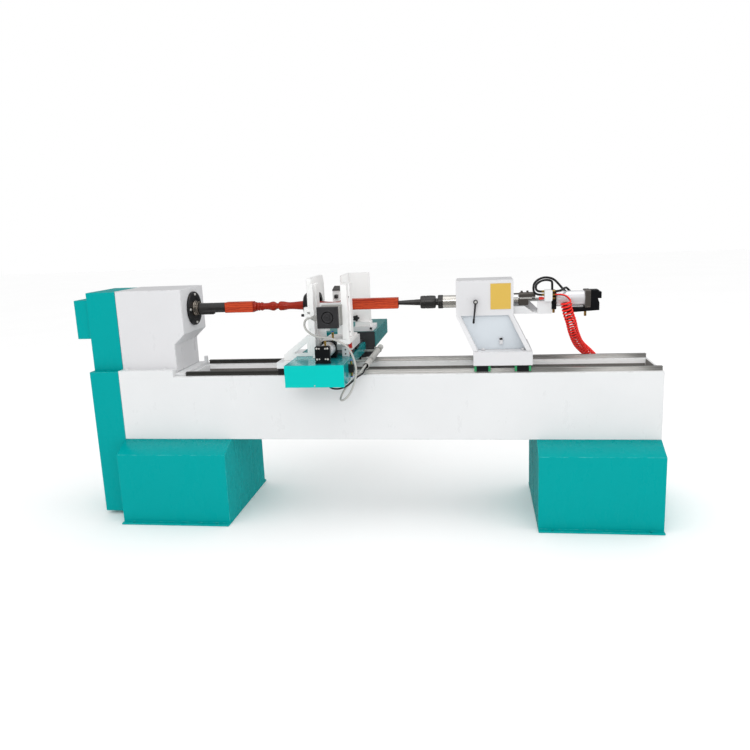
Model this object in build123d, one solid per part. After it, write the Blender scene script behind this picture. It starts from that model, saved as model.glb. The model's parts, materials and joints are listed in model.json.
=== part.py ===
from build123d import *
import math
import os

os.makedirs("parts", exist_ok=True)

# All sizes are millimetres.
# Local axes while modelling: x = 0 at the right end of the bed, y = 0 at its front face, z = 0 on the floor.
# Each finished solid is moved once, at export, to the frame with the origin under the middle of the machine.

# Bed and stand
BED_LEN = 2914.0
BED_DEPTH = 422.0
BED_TOP = 813.0
BED_H = 358.0
BED_WALL = 12.0
LEDGE_W = 64.0
TROUGH_DEEP = 110.0
PED_W = 625.0
PED_OUT = 122.0
SHOULDER_DROP = 55.0
PED_WALL = 8.0
FOOT_OUT = 28.0
FOOT_T = 10.0
ANCHOR_R = 9.0
ANCHOR_IN = 70.0

# Linear guides
RAIL_W = 23.0
RAIL_H = 22.0
RAIL_EDGE = 20.5
BLOCK_L = 84.0
BLOCK_W = 48.0
BLOCK_TOP = 38.0
CAP_L = 12.0
CROSS_W = 20.0
CROSS_H = 17.5

# Left end covers
CAB_W = 171.0
CAB_LOW = 20.0
CAB_OVER = 31.0
COVER_W = 171.0
COVER_OVER = 116.0
SETBACK = 49.0
SHEET = 3.0
END_BOX_W = 79.0
END_BOX_UNDER = 143.0
END_BOX_OVER = 74.0

# Headstock and spindle
AXIS_UP = 355.0
HEAD_LEN = 383.0
HEAD_OVER = 119.0
HEAD_WALL = 16.0
HEAD_CUT = 60.0
CUT_LOW = 184.0
CUT_HIGH = 128.0
BASE_T = 15.0
DISC_R = 95.0
DISC_T = 14.0
BEARING_R = 62.0
BEARING_W = 40.0
SHAFT_R = 40.0
NOSE_R = 36.0
SPINDLE_PULLEY_R = 90.0
MOTOR_PULLEY_R = 60.0
PULLEY_W = 56.0
BELT_T = 7.0
MOTOR_DROP = 238.0
MOTOR_R = 92.0
DRIVE_LEN = 158.0
SLEEVE_R = 27.5
WORK_LEN = 978.0
WORK_SIDE = 57.0

# Carriage
SADDLE_ALONG = 582.0
SADDLE_W = 308.0
SADDLE_H = 54.0
APRON_DROP = 22.0
SADDLE_FRONT = 200.0
SADDLE_BEHIND = 107.0
COVER_SHEET = 2.0
BRACKET_W = 98.0
TABLE_RISE = 30.0
TABLE_T = 50.0
TOWER_W = 33.0
TOWER_D = 158.0
TOWER_OVER = 128.0
FEED_MOTOR = 110.0
STEADY_T = 25.0
STEADY_OVER = 157.0
RING_BORE = 46.0
RING_R = 80.0
RING_REACH = 62.0
RING_PAST = 12.0
HOUSING_GAP = 31.0
HOUSING_LEN = 596.0
HOUSING_RISE = 18.0
HOUSING_H = 94.0
MODULE = 5.0
PINION_TEETH = 14

# Tailstock
TAIL_ALONG = 316.0
TAIL_W = 297.0
TAIL_LEAN = 87.0
TAIL_HALF = 106.0
TAIL_UNDER = 70.0
TAIL_OVER = 116.0
TAIL_BASE_H = 72.0
QUILL_R = 33.5
TAIL_CYL_R = 40.5

# Cords
GREY_R = 5.6
BLACK_R = 4.6
TUBE_R = 5.0
HOSE_R = 4.5
COIL_R = 24.0
COIL_TURNS = 28

# Derived stations
YC = BED_DEPTH / 2
ZA = BED_TOP + AXIS_UP
Z_BOT = BED_TOP - BED_H
PED_SHOULDER = Z_BOT - SHOULDER_DROP
MOTOR_Z = BED_TOP - MOTOR_DROP
XB0 = -BED_LEN
XC0 = XB0 - CAB_W
XE0 = XC0 - END_BOX_W
CAB_TOP = BED_TOP + CAB_OVER
COVER_TOP = ZA + COVER_OVER
END_BOX_Z0 = ZA - END_BOX_UNDER
END_BOX_Z1 = ZA + END_BOX_OVER
HEAD_TOP = ZA + HEAD_OVER
HEAD_CUT_Z0 = ZA - CUT_LOW
HEAD_CUT_Z1 = ZA - CUT_HIGH
XH0 = XB0 + 5.0
XH1 = XH0 + HEAD_LEN
XN = XH1 + 39.0
XW0 = XN + DRIVE_LEN
XW1 = XW0 + WORK_LEN
RAIL_YF = RAIL_EDGE + RAIL_W / 2
RAIL_YR = BED_DEPTH - RAIL_YF
BLOCK_Z = BED_TOP + BLOCK_TOP
SADDLE_X = XW0 + SADDLE_ALONG
SADDLE_TOP = BLOCK_Z + SADDLE_H
SADDLE_LOW = BED_TOP - APRON_DROP
SADDLE_BACK = BED_DEPTH + SADDLE_BEHIND
TABLE_Z0 = SADDLE_TOP + TABLE_RISE
TABLE_Z1 = TABLE_Z0 + TABLE_T
TOWER_TOP = ZA + TOWER_OVER
STEADY_TOP = ZA + STEADY_OVER
HOUSING_FRONT = SADDLE_BACK + HOUSING_GAP
HOUSING_BACK = HOUSING_FRONT + HOUSING_LEN
HOUSING_Z0 = BLOCK_Z + HOUSING_RISE
HOUSING_Z1 = HOUSING_Z0 + HOUSING_H
TAIL_X = XW1 + TAIL_ALONG
TAIL_BOX_Z0 = ZA - TAIL_UNDER
TAIL_TOP = ZA + TAIL_OVER
TAIL_BASE_TOP = BLOCK_Z + TAIL_BASE_H
X_SHIFT = -XE0 / 2
Y_SHIFT = (SADDLE_FRONT + COVER_SHEET - HOUSING_BACK) / 2
PLACE = Pos(X_SHIFT, Y_SHIFT, 0)
SX0 = SADDLE_X - SADDLE_W / 2
SX1 = SADDLE_X + SADDLE_W / 2
PITCH = math.pi * MODULE
SLIP = 0.3


def box(x0, x1, y0, y1, z0, z1):
    """A block between two corners."""
    return Pos((x0 + x1) / 2, (y0 + y1) / 2, (z0 + z1) / 2) * Box(x1 - x0, y1 - y0, z1 - z0)


def cyl_x(r, x0, x1, y, z):
    """A round bar along x."""
    return Pos((x0 + x1) / 2, y, z) * Rot(0, 90, 0) * Cylinder(r, x1 - x0)


def cyl_y(r, y0, y1, x, z):
    """A round bar along y."""
    return Pos(x, (y0 + y1) / 2, z) * Rot(90, 0, 0) * Cylinder(r, y1 - y0)


def cyl_z(r, z0, z1, x, y):
    """A round bar along z."""
    return Pos(x, y, (z0 + z1) / 2) * Cylinder(r, z1 - z0)


def prism_x(pts, x0, x1):
    """A (y, z) outline run along x."""
    face = make_face(Polyline(*[(p[0], p[1]) for p in pts], close=True))
    return extrude(Plane.YZ.offset(x0) * face, amount=x1 - x0)


def prism_y(pts, y0, y1):
    """An (x, z) outline run along y."""
    face = make_face(Polyline(*[(p[0], p[1]) for p in pts], close=True))
    return extrude(Plane.XZ.offset(-y1) * face, amount=y1 - y0)


def prism_z(pts, z0, z1):
    """An (x, y) outline run along z."""
    face = make_face(Polyline(*[(p[0], p[1]) for p in pts], close=True))
    return extrude(Plane.XY.offset(z0) * face, amount=z1 - z0)


def turned(pts, y, z):
    """An (x, radius) outline turned about an axis along x."""
    face = make_face(Polyline(*pts, close=True))
    return Pos(0, y, z) * revolve(face, Axis.X, 360)


def hexagon_z(r, z0, z1, x, y):
    """A hexagon bolt head standing along z."""
    return Pos(x, y, z0) * extrude(RegularPolygon(r, 6), amount=z1 - z0)


def hexagon_x(r, x0, x1, y, z):
    """A hexagon bolt head or union along x."""
    return Pos(x0, y, z) * Rot(0, 90, 0) * extrude(RegularPolygon(r, 6), amount=x1 - x0)


def hexagon_y(r, y0, y1, x, z):
    """A hexagon bolt head or union along y."""
    return Pos(x, y1, z) * Rot(90, 0, 0) * extrude(RegularPolygon(r, 6), amount=y1 - y0)


def unit(v):
    """The vector at length one."""
    return v * (1.0 / v.length)


def arc_mid(p, t, q):
    """The middle of the arc that leaves p along t and ends at q."""
    chord = q - p
    side = chord - t * chord.dot(t)
    if side.length < 1e-6:
        return None
    n = unit(side)
    r = chord.dot(chord) / (2 * chord.dot(n))
    centre = p + n * r
    mid = p + chord * 0.5 - centre
    return centre + unit(mid) * r


def tube(edges, r):
    """A tube along joined edges."""
    path = Wire(edges)
    start = path.position_at(0)
    along = path.tangent_at(0)
    return sweep(Plane(start, z_dir=along) * RegularPolygon(r, 6), path=path, clean=False)


def routed(pts, r, name):
    """A cord along straight runs and tangent arcs, six-sided to keep its mesh light."""
    p = [Vector(*q) for q in pts]
    radii = []
    for i in range(1, len(p) - 1):
        a = p[i - 1] - p[i]
        b = p[i + 1] - p[i]
        half = (180.0 - math.degrees(math.acos(max(-1, min(1, unit(a).dot(unit(b))))))) / 2
        before = a.length - 2 * r if i == 1 else 0.45 * a.length
        after = b.length - 2 * r if i == len(p) - 2 else 0.45 * b.length
        radii.append(min(before, after) / math.tan(math.radians(half)))
    print(name, "bend radii", [round(v, 1) for v in radii])
    line = FilletPolyline(*p, radius=radii)
    return tube(line.edges(), r)


parts = {}


def keep(name, *solids):
    """Place finished solids and file them under one node name."""
    moved = [PLACE * s for body in solids for s in body.solids()]
    parts[name] = moved


# Bed: a fabricated beam with a trough between the rail ledges
def bed():
    """The bed beam, hollow below its trough."""
    beam = box(XB0, 0, 0, BED_DEPTH, Z_BOT, BED_TOP)
    floor_z = BED_TOP - TROUGH_DEEP
    beam -= box(XH1 + 6, -BED_WALL, LEDGE_W, BED_DEPTH - LEDGE_W, floor_z, BED_TOP + 1)
    wall = BED_WALL
    beam -= box(XB0 + wall, -wall, wall, BED_DEPTH - wall, Z_BOT + wall, floor_z - wall)
    free = BED_LEN - 2 * PED_W
    for k in (-1, 0, 1):
        x = -BED_LEN / 2 + k * free / 3.2
        beam -= box(x - 150, x + 150, YC - 100, YC + 100, Z_BOT - 1, Z_BOT + BED_WALL + 1)
    beam -= cyl_x(46, XB0 - 1, XB0 + BED_WALL + 1, YC, MOTOR_Z)
    return beam


keep("bed_frame", bed())


def pedestal(x0, x1):
    """A sheet pedestal with sloping shoulders, open below, with drilled foot flanges."""
    a = -PED_OUT
    b = BED_DEPTH + PED_OUT
    w = PED_WALL
    outer = [(a, 0), (a, PED_SHOULDER), (0, Z_BOT), (BED_DEPTH, Z_BOT), (b, PED_SHOULDER), (b, 0)]
    low = PED_SHOULDER - w / 2
    top = Z_BOT - w
    inner = [(a + w, -1), (a + w, low), (w / 3, top), (BED_DEPTH - w / 3, top), (b - w, low), (b - w, -1)]
    shell = prism_x(outer, x0, x1) - prism_x(inner, x0 + w, x1 - w)
    shell += box(x0, x1, a - FOOT_OUT, a + 1, 0, FOOT_T)
    shell += box(x0, x1, b - 1, b + FOOT_OUT, 0, FOOT_T)
    for x in (x0 + ANCHOR_IN, x1 - ANCHOR_IN):
        for y in (a - FOOT_OUT / 2, b + FOOT_OUT / 2):
            shell -= cyl_z(ANCHOR_R, -1, FOOT_T + 1, x, y)
    return shell


keep("left_pedestal", pedestal(XB0, XB0 + PED_W))
keep("right_pedestal", pedestal(-PED_W, 0))


# Covers at the left end
def lower_cabinet():
    """The tall belt cabinet, open towards the bed's end and closed above it."""
    shell = box(XC0, XB0, 0, BED_DEPTH, CAB_LOW, CAB_TOP)
    shell -= box(XC0 + SHEET, XB0 - SHEET, SHEET, BED_DEPTH - SHEET, CAB_LOW + SHEET, CAB_TOP - SHEET)
    shell -= box(XB0 - SHEET - 1, XB0 + 1, SHEET, BED_DEPTH - SHEET, CAB_LOW + SHEET, BED_TOP)
    shell -= box(XC0 + 20, XB0 - 12, YC - 112, YC + 112, CAB_TOP - SHEET - 1, CAB_TOP + 1)
    shell -= cyl_y(14, BED_DEPTH - SHEET - 1, BED_DEPTH + 1, XC0 + CAB_W / 2, CAB_LOW + 100)
    return shell


def upper_cover():
    """The belt cover beside the headstock, open below and towards it."""
    x0 = XH0 - COVER_W
    y0 = SETBACK + SHEET
    shell = box(x0, XH0, SETBACK, BED_DEPTH - SETBACK, CAB_TOP, COVER_TOP)
    shell -= box(x0 + SHEET, XH0 + 1, y0, BED_DEPTH - y0, CAB_TOP - 1, COVER_TOP - SHEET)
    shell -= cyl_x(SHAFT_R + 8, x0 - 1, x0 + SHEET + 1, YC, ZA)
    return shell


def end_box():
    """The small box over the spindle's rear end."""
    x1 = XH0 - COVER_W
    y0 = SETBACK + 11
    shell = box(XE0, x1, y0, BED_DEPTH - y0, END_BOX_Z0, END_BOX_Z1)
    y0 += SHEET
    shell -= box(XE0 + SHEET, x1 + 1, y0, BED_DEPTH - y0, END_BOX_Z0 + SHEET, END_BOX_Z1 - SHEET)
    return shell


keep("lower_belt_cabinet", lower_cabinet())
keep("upper_belt_cover", upper_cover())
keep("end_box", end_box())


# Headstock
def headstock():
    """The welded headstock with its undercut and two bearing seats."""
    z0 = BED_TOP + BASE_T
    w = HEAD_WALL
    x2 = XH1 - HEAD_CUT
    outer = [(XH0, z0), (XH0, HEAD_TOP), (XH1, HEAD_TOP), (XH1, HEAD_CUT_Z1), (x2, HEAD_CUT_Z0), (x2, z0)]
    k = w * 0.55
    inner = [
        (XH0 + w, z0 - 1),
        (XH0 + w, HEAD_TOP - w),
        (XH1 - w, HEAD_TOP - w),
        (XH1 - w, HEAD_CUT_Z1 + k),
        (x2 - w, HEAD_CUT_Z0 + k),
        (x2 - w, z0 - 1),
    ]
    shell = prism_y(outer, SETBACK, BED_DEPTH - SETBACK)
    shell -= prism_y(inner, SETBACK + w, BED_DEPTH - SETBACK - w)
    seat = BEARING_W + 12
    shell += cyl_x(BEARING_R + 20, XH0, XH0 + seat, YC, ZA)
    shell += cyl_x(BEARING_R + 20, XH1 - seat, XH1, YC, ZA)
    return shell - cyl_x(BEARING_R, XH0 - 1, XH1 + 1, YC, ZA)


def headstock_base():
    """The foot plate, with its bolts and a small stop at the rear corner."""
    y0 = SETBACK - 14
    x1 = XH1 - 8
    z1 = BED_TOP + BASE_T
    plate = box(XH0, x1, y0, BED_DEPTH - y0, BED_TOP, z1)
    plate += box(x1 - 16, x1, BED_DEPTH - y0 - 27, BED_DEPTH - y0, z1 - 1, z1 + 34)
    bolts = []
    for x in (XH0 + 90, XH1 - HEAD_CUT - 70):
        for y in (y0 + 7, BED_DEPTH - y0 - 7):
            bolts.append(hexagon_z(6.5, z1, z1 + 6, x, y))
    return [plate] + bolts


keep("headstock_housing", headstock())
keep("headstock_base_plate", *headstock_base())


def bearing_cover():
    """The round black cover on the headstock's face, with its screws."""
    x1 = XH1 + DISC_T
    bore = SHAFT_R + 4.5
    prof = [(XH1, bore), (XH1, DISC_R), (x1, DISC_R), (x1, 62), (x1 - 4, 62), (x1 - 4, bore)]
    out = [turned(prof, YC, ZA)]
    ring = DISC_R - 16
    for y, z in ((0, ring), (ring, 0), (0, -ring), (-ring, 0)):
        out.append(hexagon_x(6.5, x1, x1 + 6, YC + y, ZA + z))
    return out


keep("spindle_bearing_cover", *bearing_cover())


def bearings():
    """Front and rear spindle bearings."""
    out = []
    for x in (XH0 + 10, XH1 - BEARING_W - 10):
        ring = cyl_x(BEARING_R - 0.05, x, x + BEARING_W, YC, ZA)
        out.append(ring - cyl_x(SHAFT_R + 0.03, x - 1, x + BEARING_W + 1, YC, ZA))
    return out


keep("spindle_bearings", *bearings())

XP0 = XH0 - 119.0
XP1 = XP0 + PULLEY_W


def shaft():
    """The stepped spindle."""
    r = SHAFT_R - 0.03
    hub = SHAFT_R - 5
    collar = SHAFT_R + 3
    prof = [(XE0 + 30, 0), (XE0 + 30, 20), (XP0 - 20, 20), (XP0 - 20, hub), (XP1 + 6, hub), (XP1 + 6, r)]
    prof += [(XH1 + 4, r), (XH1 + 4, collar), (XH1 + 20, collar), (XH1 + 20, NOSE_R), (XN, NOSE_R), (XN, 0)]
    return turned(prof, YC, ZA)


def pulley(radius, bore):
    """A flat wheel for the ribbed belt, as an (x, radius) outline."""
    return [(XP0, bore), (XP0, radius), (XP1, radius), (XP1, bore)]


keep("spindle_shaft", shaft())
keep("spindle_pulley", turned(pulley(SPINDLE_PULLEY_R, SHAFT_R - 4.95), YC, ZA))


def motor_pulley():
    """The motor's pulley and its shaft."""
    wheel = turned(pulley(MOTOR_PULLEY_R, 0.0), YC, MOTOR_Z)
    return wheel + cyl_x(19, XP1 - 1, XB0 + 30, YC, MOTOR_Z)


keep("motor_pulley", motor_pulley())


def belt():
    """The belt round both pulleys."""
    gap = ZA - MOTOR_Z
    out = []
    for extra in (BELT_T + SLIP, SLIP):
        a = SPINDLE_PULLEY_R + extra
        b = MOTOR_PULLEY_R + extra
        s = (a - b) / gap
        c = math.sqrt(1 - s * s)
        p1 = (YC + a * c, ZA - a * s)
        p2 = (YC + b * c, MOTOR_Z - b * s)
        p3 = (YC - b * c, MOTOR_Z - b * s)
        p4 = (YC - a * c, ZA - a * s)
        edges = [Line(p1, p2), ThreePointArc(p2, (YC, MOTOR_Z - b), p3), Line(p3, p4)]
        edges.append(ThreePointArc(p4, (YC, ZA + a), p1))
        out.append(make_face(edges))
    ring = out[0] - out[1]
    return extrude(Plane.YZ.offset(XP0 + 3) * ring, amount=PULLEY_W - 6)


keep("drive_belt", belt())


def main_motor():
    """The main motor inside the bed's left end: flange, body and terminal box."""
    x0 = XB0 + BED_WALL
    body = cyl_x(MOTOR_R + 6, x0, x0 + 14, YC, MOTOR_Z)
    body += cyl_x(MOTOR_R - 8, x0 + 13, x0 + 330, YC, MOTOR_Z)
    body += box(x0 + 90, x0 + 190, YC + MOTOR_R - 24, YC + MOTOR_R + 40, MOTOR_Z - 45, MOTOR_Z + 45)
    return body - cyl_x(19.5, x0 - 1, x0 + 60, YC, MOTOR_Z)


keep("main_motor", main_motor())


# Linear rails and blocks
def rail_outline(w, h):
    """Half-height waisted section of a profile rail, as (across, up) points."""
    a = w / 2
    waist = a * 0.72
    left = [(-a, 0), (-a, h * 0.34), (-waist, h * 0.5), (-waist, h * 0.62)]
    left += [(-a, h * 0.76), (-a, h - 1), (1 - a, h)]
    return left + [(-u, v) for u, v in reversed(left)]


def rail_x(y):
    """One bed rail."""
    return prism_x([(y + u, BED_TOP + v) for u, v in rail_outline(RAIL_W, RAIL_H)], XH1, -5)


keep("guide_rails", rail_x(RAIL_YF), rail_x(RAIL_YR))


def saddle_clear(w, h, gap):
    """Tunnel outline through a guide block, a little larger than its rail."""
    a = w / 2 + gap
    waist = w / 2 * 0.72 + gap
    left = [(-a, -5), (-a, h * 0.34 + gap * 0.5), (-waist, h * 0.5), (-waist, h * 0.62)]
    left += [(-a, h * 0.76 - gap * 0.5), (-a, h + gap)]
    return left + [(-u, v) for u, v in reversed(left)]


def block_x(x, y):
    """A guide block with its two end caps, round a rail along x."""
    w = BLOCK_W / 2
    z0 = BED_TOP + 6
    hole = prism_x([(y + u, BED_TOP + v) for u, v in saddle_clear(RAIL_W, RAIL_H, 0.4)], x - 60, x + 60)
    slot = box(x - 60, x + 60, y - RAIL_W / 2 - 0.4, y + RAIL_W / 2 + 0.4, z0 - 1, BED_TOP + RAIL_H + 0.4)
    a = x - BLOCK_L / 2
    b = x + BLOCK_L / 2
    body = prism_x(
        [(y - w, z0), (y - w, BLOCK_Z - 8), (y - w + 4, BLOCK_Z - 5), (y - w + 4, BLOCK_Z)]
        + [(y + w - 4, BLOCK_Z), (y + w - 4, BLOCK_Z - 5), (y + w, BLOCK_Z - 8), (y + w, z0)],
        a + CAP_L,
        b - CAP_L,
    )
    cap0 = box(a, a + CAP_L, y - w + 1, y + w - 1, z0 + 1, BLOCK_Z - 3)
    cap1 = box(b - CAP_L, b, y - w + 1, y + w - 1, z0 + 1, BLOCK_Z - 3)
    return [body - hole, cap0 - slot, cap1 - slot]


def drive_rack():
    """A toothed rack along the back of the bed, with a tooth centred on the pinion's rest station."""
    root = BED_DEPTH + RACK_BACK
    x0 = PINION_X + (RACK_LEFT - 0.5) * PITCH
    count = RACK_RIGHT - RACK_LEFT + 1
    tip = 0.9 * MODULE
    deep = 1.25 * MODULE
    slope = math.tan(math.radians(20))
    w = PITCH / 4 - 0.15
    top = root + deep + tip
    pts = [(x0, BED_DEPTH), (x0, root)]
    for k in range(count):
        c = x0 + (k + 0.5) * PITCH
        pts.append((c - w - deep * slope, root))
        pts.append((c - w + tip * slope, top))
        pts.append((c + w - tip * slope, top))
        pts.append((c + w + deep * slope, root))
    x1 = x0 + count * PITCH
    pts += [(x1, root), (x1, BED_DEPTH)]
    return prism_z(pts, RACK_Z0, RACK_Z1)


PINION_X = SADDLE_X - 53.0
RACK_Z0 = BED_TOP - 48.0
RACK_Z1 = BED_TOP - 18.0
RACK_BACK = 14.0
RACK_LEFT = -31
RACK_RIGHT = 35
PINION_Y = BED_DEPTH + RACK_BACK + 1.25 * MODULE + PINION_TEETH * MODULE / 2 + 0.2


def involute_tooth(m, teeth, trim):
    """Half-flank points (radius, half angle) of an involute tooth."""
    rp = m * teeth / 2
    rb = rp * math.cos(math.radians(20))
    half = math.pi / (2 * teeth) - trim / rp
    inv = math.tan(math.radians(20)) - math.radians(20)
    out = []
    for k in range(4):
        r = max(rb, rp - m) + (rp + 0.9 * m - max(rb, rp - m)) * k / 3
        a = math.acos(min(1.0, rb / r))
        out.append((r, half + inv - (math.tan(a) - a)))
    return out


def pinion():
    """The carriage pinion on its shaft, a tooth gap facing the rack."""
    flank = involute_tooth(MODULE, PINION_TEETH, 0.2)
    root = MODULE * PINION_TEETH / 2 - 1.25 * MODULE
    pts = []
    for k in range(PINION_TEETH):
        mid = -math.pi / 2 + 2 * math.pi * (k + 0.5) / PINION_TEETH
        h0 = flank[0][1]
        pts.append((root * math.cos(mid - h0), root * math.sin(mid - h0)))
        for r, h in flank:
            pts.append((r * math.cos(mid - h), r * math.sin(mid - h)))
        for r, h in reversed(flank):
            pts.append((r * math.cos(mid + h), r * math.sin(mid + h)))
        pts.append((root * math.cos(mid + h0), root * math.sin(mid + h0)))
    gear = prism_z([(PINION_X + u, PINION_Y + v) for u, v in pts], RACK_Z0 - 2, RACK_Z1 + 2)
    gear += cyl_z(12, RACK_Z0 - 40, RACK_Z0, PINION_X, PINION_Y)
    return gear


keep("drive_rack", drive_rack())
keep("carriage_pinion", pinion())


# Spindle tooling and the turned work
def drive_sleeve():
    """The black drive sleeve, with a set-screw lug under its first half."""
    lug = box(XN, XN + 84, YC - 14, YC + 14, ZA - SLEEVE_R - 10, ZA - SLEEVE_R / 2)
    lug = chamfer(lug.edges().filter_by(Axis.X).group_by(Axis.Z)[0], 5)
    return cyl_x(SLEEVE_R, XN, XW0, YC, ZA) + lug


keep("drive_center", drive_sleeve())


def workpiece():
    """A baluster: square ends, beads, vase, long taper and a slim neck."""
    s = WORK_SIDE / 2
    a = XW0
    k = WORK_LEN / 978.0
    rows = [(166, 25.5), (180, 25.5), (184, 19), (195, 23), (201, 19), (212, 23.5), (218, 19), (243, 18.5)]
    rows += [(265, 25.5), (284, 25.5), (303, 15.5), (318, 25.5), (365, 19.5), (456, 24.6), (500, 24.6)]
    rows += [(585, 17), (628, 15), (660, 25.5), (676, 25.5), (684, 20)]
    pts = [(a + 158 * k, 0), (a + 158 * k, 19)]
    pts += [(a + x * k, r) for x, r in rows]
    pts += [(a + 700 * k, 20), (a + 700 * k, 0)]
    body = turned(pts, YC, ZA)
    body += box(a, a + 164 * k, YC - s, YC + s, ZA - s, ZA + s)
    body += box(a + 690 * k, a + WORK_LEN, YC - s, YC + s, ZA - s, ZA + s)
    return body


keep("workpiece", workpiece())


# Carriage: saddle
def saddle_box():
    """The saddle casting: an apron in front of the bed and a bridge over it."""
    front = -SADDLE_FRONT
    prof = [(front, SADDLE_LOW), (front, SADDLE_TOP), (SADDLE_BACK, SADDLE_TOP), (SADDLE_BACK, BLOCK_Z)]
    prof += [(-5, BLOCK_Z), (-5, SADDLE_LOW)]
    body = prism_x(prof, SX0, SX1)
    a = SX0 + 6
    b = SX1 - 6
    roof = SADDLE_TOP - 9
    body -= box(a, b, front + 6, -11, SADDLE_LOW - 1, roof)
    body -= box(a, b, LEDGE_W + 8, BED_DEPTH - LEDGE_W - 8, BLOCK_Z - 1, roof)
    body -= box(a, b, BED_DEPTH + 10, SADDLE_BACK - 8, BLOCK_Z - 1, roof)
    body += box(SX0 + 12, SX0 + 240, SADDLE_BACK - 1, HOUSING_FRONT, HOUSING_Z0 + 4, SADDLE_TOP - 2)
    return body


keep("saddle_box", saddle_box())


def front_cover():
    """The flat front sheet with its screw."""
    y = -SADDLE_FRONT
    sheet = box(SX0, SX1, y - COVER_SHEET, y, SADDLE_LOW, SADDLE_TOP)
    sheet -= hexagon_y(4.0, y - COVER_SHEET - 1, y + 1, SADDLE_X, SADDLE_LOW + 9)
    return [sheet, hexagon_y(3.7, y - COVER_SHEET, y, SADDLE_X, SADDLE_LOW + 9)]


keep("saddle_front_cover", *front_cover())


def side_bracket():
    """The white ledge on the saddle's left that carries the brace foot."""
    x0 = SX0 - BRACKET_W
    prof = [(x0, BLOCK_Z), (x0, BLOCK_Z + 34), (SX0, BLOCK_Z + 34), (SX0, BLOCK_Z)]
    ledge = prism_y(prof, 2, BED_DEPTH - 2)
    ledge -= box(x0 + 8, SX0 - 8, LEDGE_W + 8, BED_DEPTH - LEDGE_W - 8, BLOCK_Z - 1, BLOCK_Z + 24)
    return ledge


keep("saddle_side_bracket", side_bracket())

SB0 = SX0 - BRACKET_W + BLOCK_L / 2 + 4
SB1 = SX1 - BLOCK_L / 2 - 4
saddle_blocks = []
for bx in (SB0, SB1):
    for by in (RAIL_YF, RAIL_YR):
        saddle_blocks += block_x(bx, by)
keep("saddle_guide_blocks", *saddle_blocks)


def carriage_motor():
    """The carriage drive motor with its gearbox, hung behind the bed on a bent bracket."""
    z1 = RACK_Z0 - 14
    z0 = z1 - 10
    x = PINION_X
    y = PINION_Y
    plate = box(x - 60, x + 60, y - 42, SADDLE_BACK, z0, z1)
    plate += box(x - 60, x + 60, SADDLE_BACK - 10, SADDLE_BACK, z0, BLOCK_Z)
    plate -= cyl_z(13, z0 - 1, z1 + 1, x, y)
    gearbox = box(x - 42, x + 42, y - 42, y + 42, z0 - 84, z0)
    gearbox -= cyl_z(12.5, z0 - 34, z0 + 1, x, y)
    motor = box(x - 50, x + 50, y - 50, y + 50, z0 - 244, z0 - 84)
    motor = chamfer(motor.edges().filter_by(Axis.Z), 8)
    return [plate, gearbox, motor]


keep("carriage_motor", *carriage_motor())

CR_RIGHT = SX1 - 26.0
CR_LEFT = SADDLE_X + 5.0
CR_Y0 = YC - 151.0
CR_Y1 = SADDLE_BACK - 2.0


def rail_y(x):
    """One cross rail."""
    pts = [(x + u, SADDLE_TOP + v) for u, v in rail_outline(CROSS_W, CROSS_H)]
    return prism_y(pts, CR_Y0, CR_Y1)


def rail_stop():
    """The small white plate before the right cross rail, with its two screws."""
    x0 = CR_RIGHT - 26
    plate = box(x0, x0 + 38, CR_Y0 - 12, CR_Y0 - 2, SADDLE_TOP, SADDLE_TOP + 50)
    out = [plate]
    for z in (SADDLE_TOP + 14, SADDLE_TOP + 36):
        out.append(hexagon_y(4.5, CR_Y0 - 15, CR_Y0 - 12, x0 + 19, z))
    return out


keep("cross_rails", rail_y(CR_RIGHT), rail_y(CR_LEFT), *rail_stop())

CYL_X = SADDLE_X + 40.0
CYL_Z = SADDLE_TOP + 52.0
CYL_Y1 = YC - 181.0
CYL_Y0 = CYL_Y1 - 192.0
CYL_H = 39.0


def slide_cylinder():
    """The air cylinder that shifts the cross slide: barrel, two square caps, screws and feet."""
    tube_r = 36.0
    barrel = cyl_y(tube_r, CYL_Y0 + 25, CYL_Y1 - 25, CYL_X, CYL_Z)
    barrel -= cyl_y(31.5, CYL_Y0 + 24, CYL_Y1 - 24, CYL_X, CYL_Z)
    out = [barrel]
    for y0, y1, hole in ((CYL_Y0, CYL_Y0 + 25, 0), (CYL_Y1 - 25, CYL_Y1, 10.05)):
        h = CYL_H
        cap = box(CYL_X - h, CYL_X + h, y0, y1, CYL_Z - h, CYL_Z + h)
        cap = chamfer(cap.edges().filter_by(Axis.Y), 6)
        if hole:
            cap -= cyl_y(hole, y0 - 1, y1 + 1, CYL_X, CYL_Z)
        out.append(cap)
        foot = box(CYL_X - h, CYL_X + h, y0 + 2, y1 - 2, SADDLE_TOP, CYL_Z - h)
        out.append(foot)
    for u in (-28, 28):
        for v in (-28, 28):
            out.append(hexagon_y(5.5, CYL_Y0 - 5, CYL_Y0, CYL_X + u, CYL_Z + v))
    top = CYL_Z + CYL_H
    out.append(hexagon_z(6.5, top, top + 26, CYL_X + 15, CYL_Y0 + 12))
    out.append(hexagon_z(6.5, top, top + 48, CYL_X + 22, CYL_Y1 - 12))
    return out


def side_valve():
    """The air valve on the saddle's right side, with a fitting above and below."""
    z0 = SADDLE_TOP - 66
    z1 = SADDLE_TOP - 24
    x = SX1 + 13
    body = box(SX1, SX1 + 26, -70, -40, z0, z1)
    return [body, hexagon_z(7, z1, z1 + 20, x, -55), hexagon_z(7, z0 - 22, z0, x, -55)]


keep("slide_cylinder", *slide_cylinder(), *side_valve())


# Steady rest on the saddle
ST_X1 = SADDLE_X - 50.0
ST_X0 = ST_X1 - STEADY_T
ST_Y0 = YC - 156.0
ST_Y1 = YC + 174.0
ST_XM = (ST_X0 + ST_X1) / 2


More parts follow.
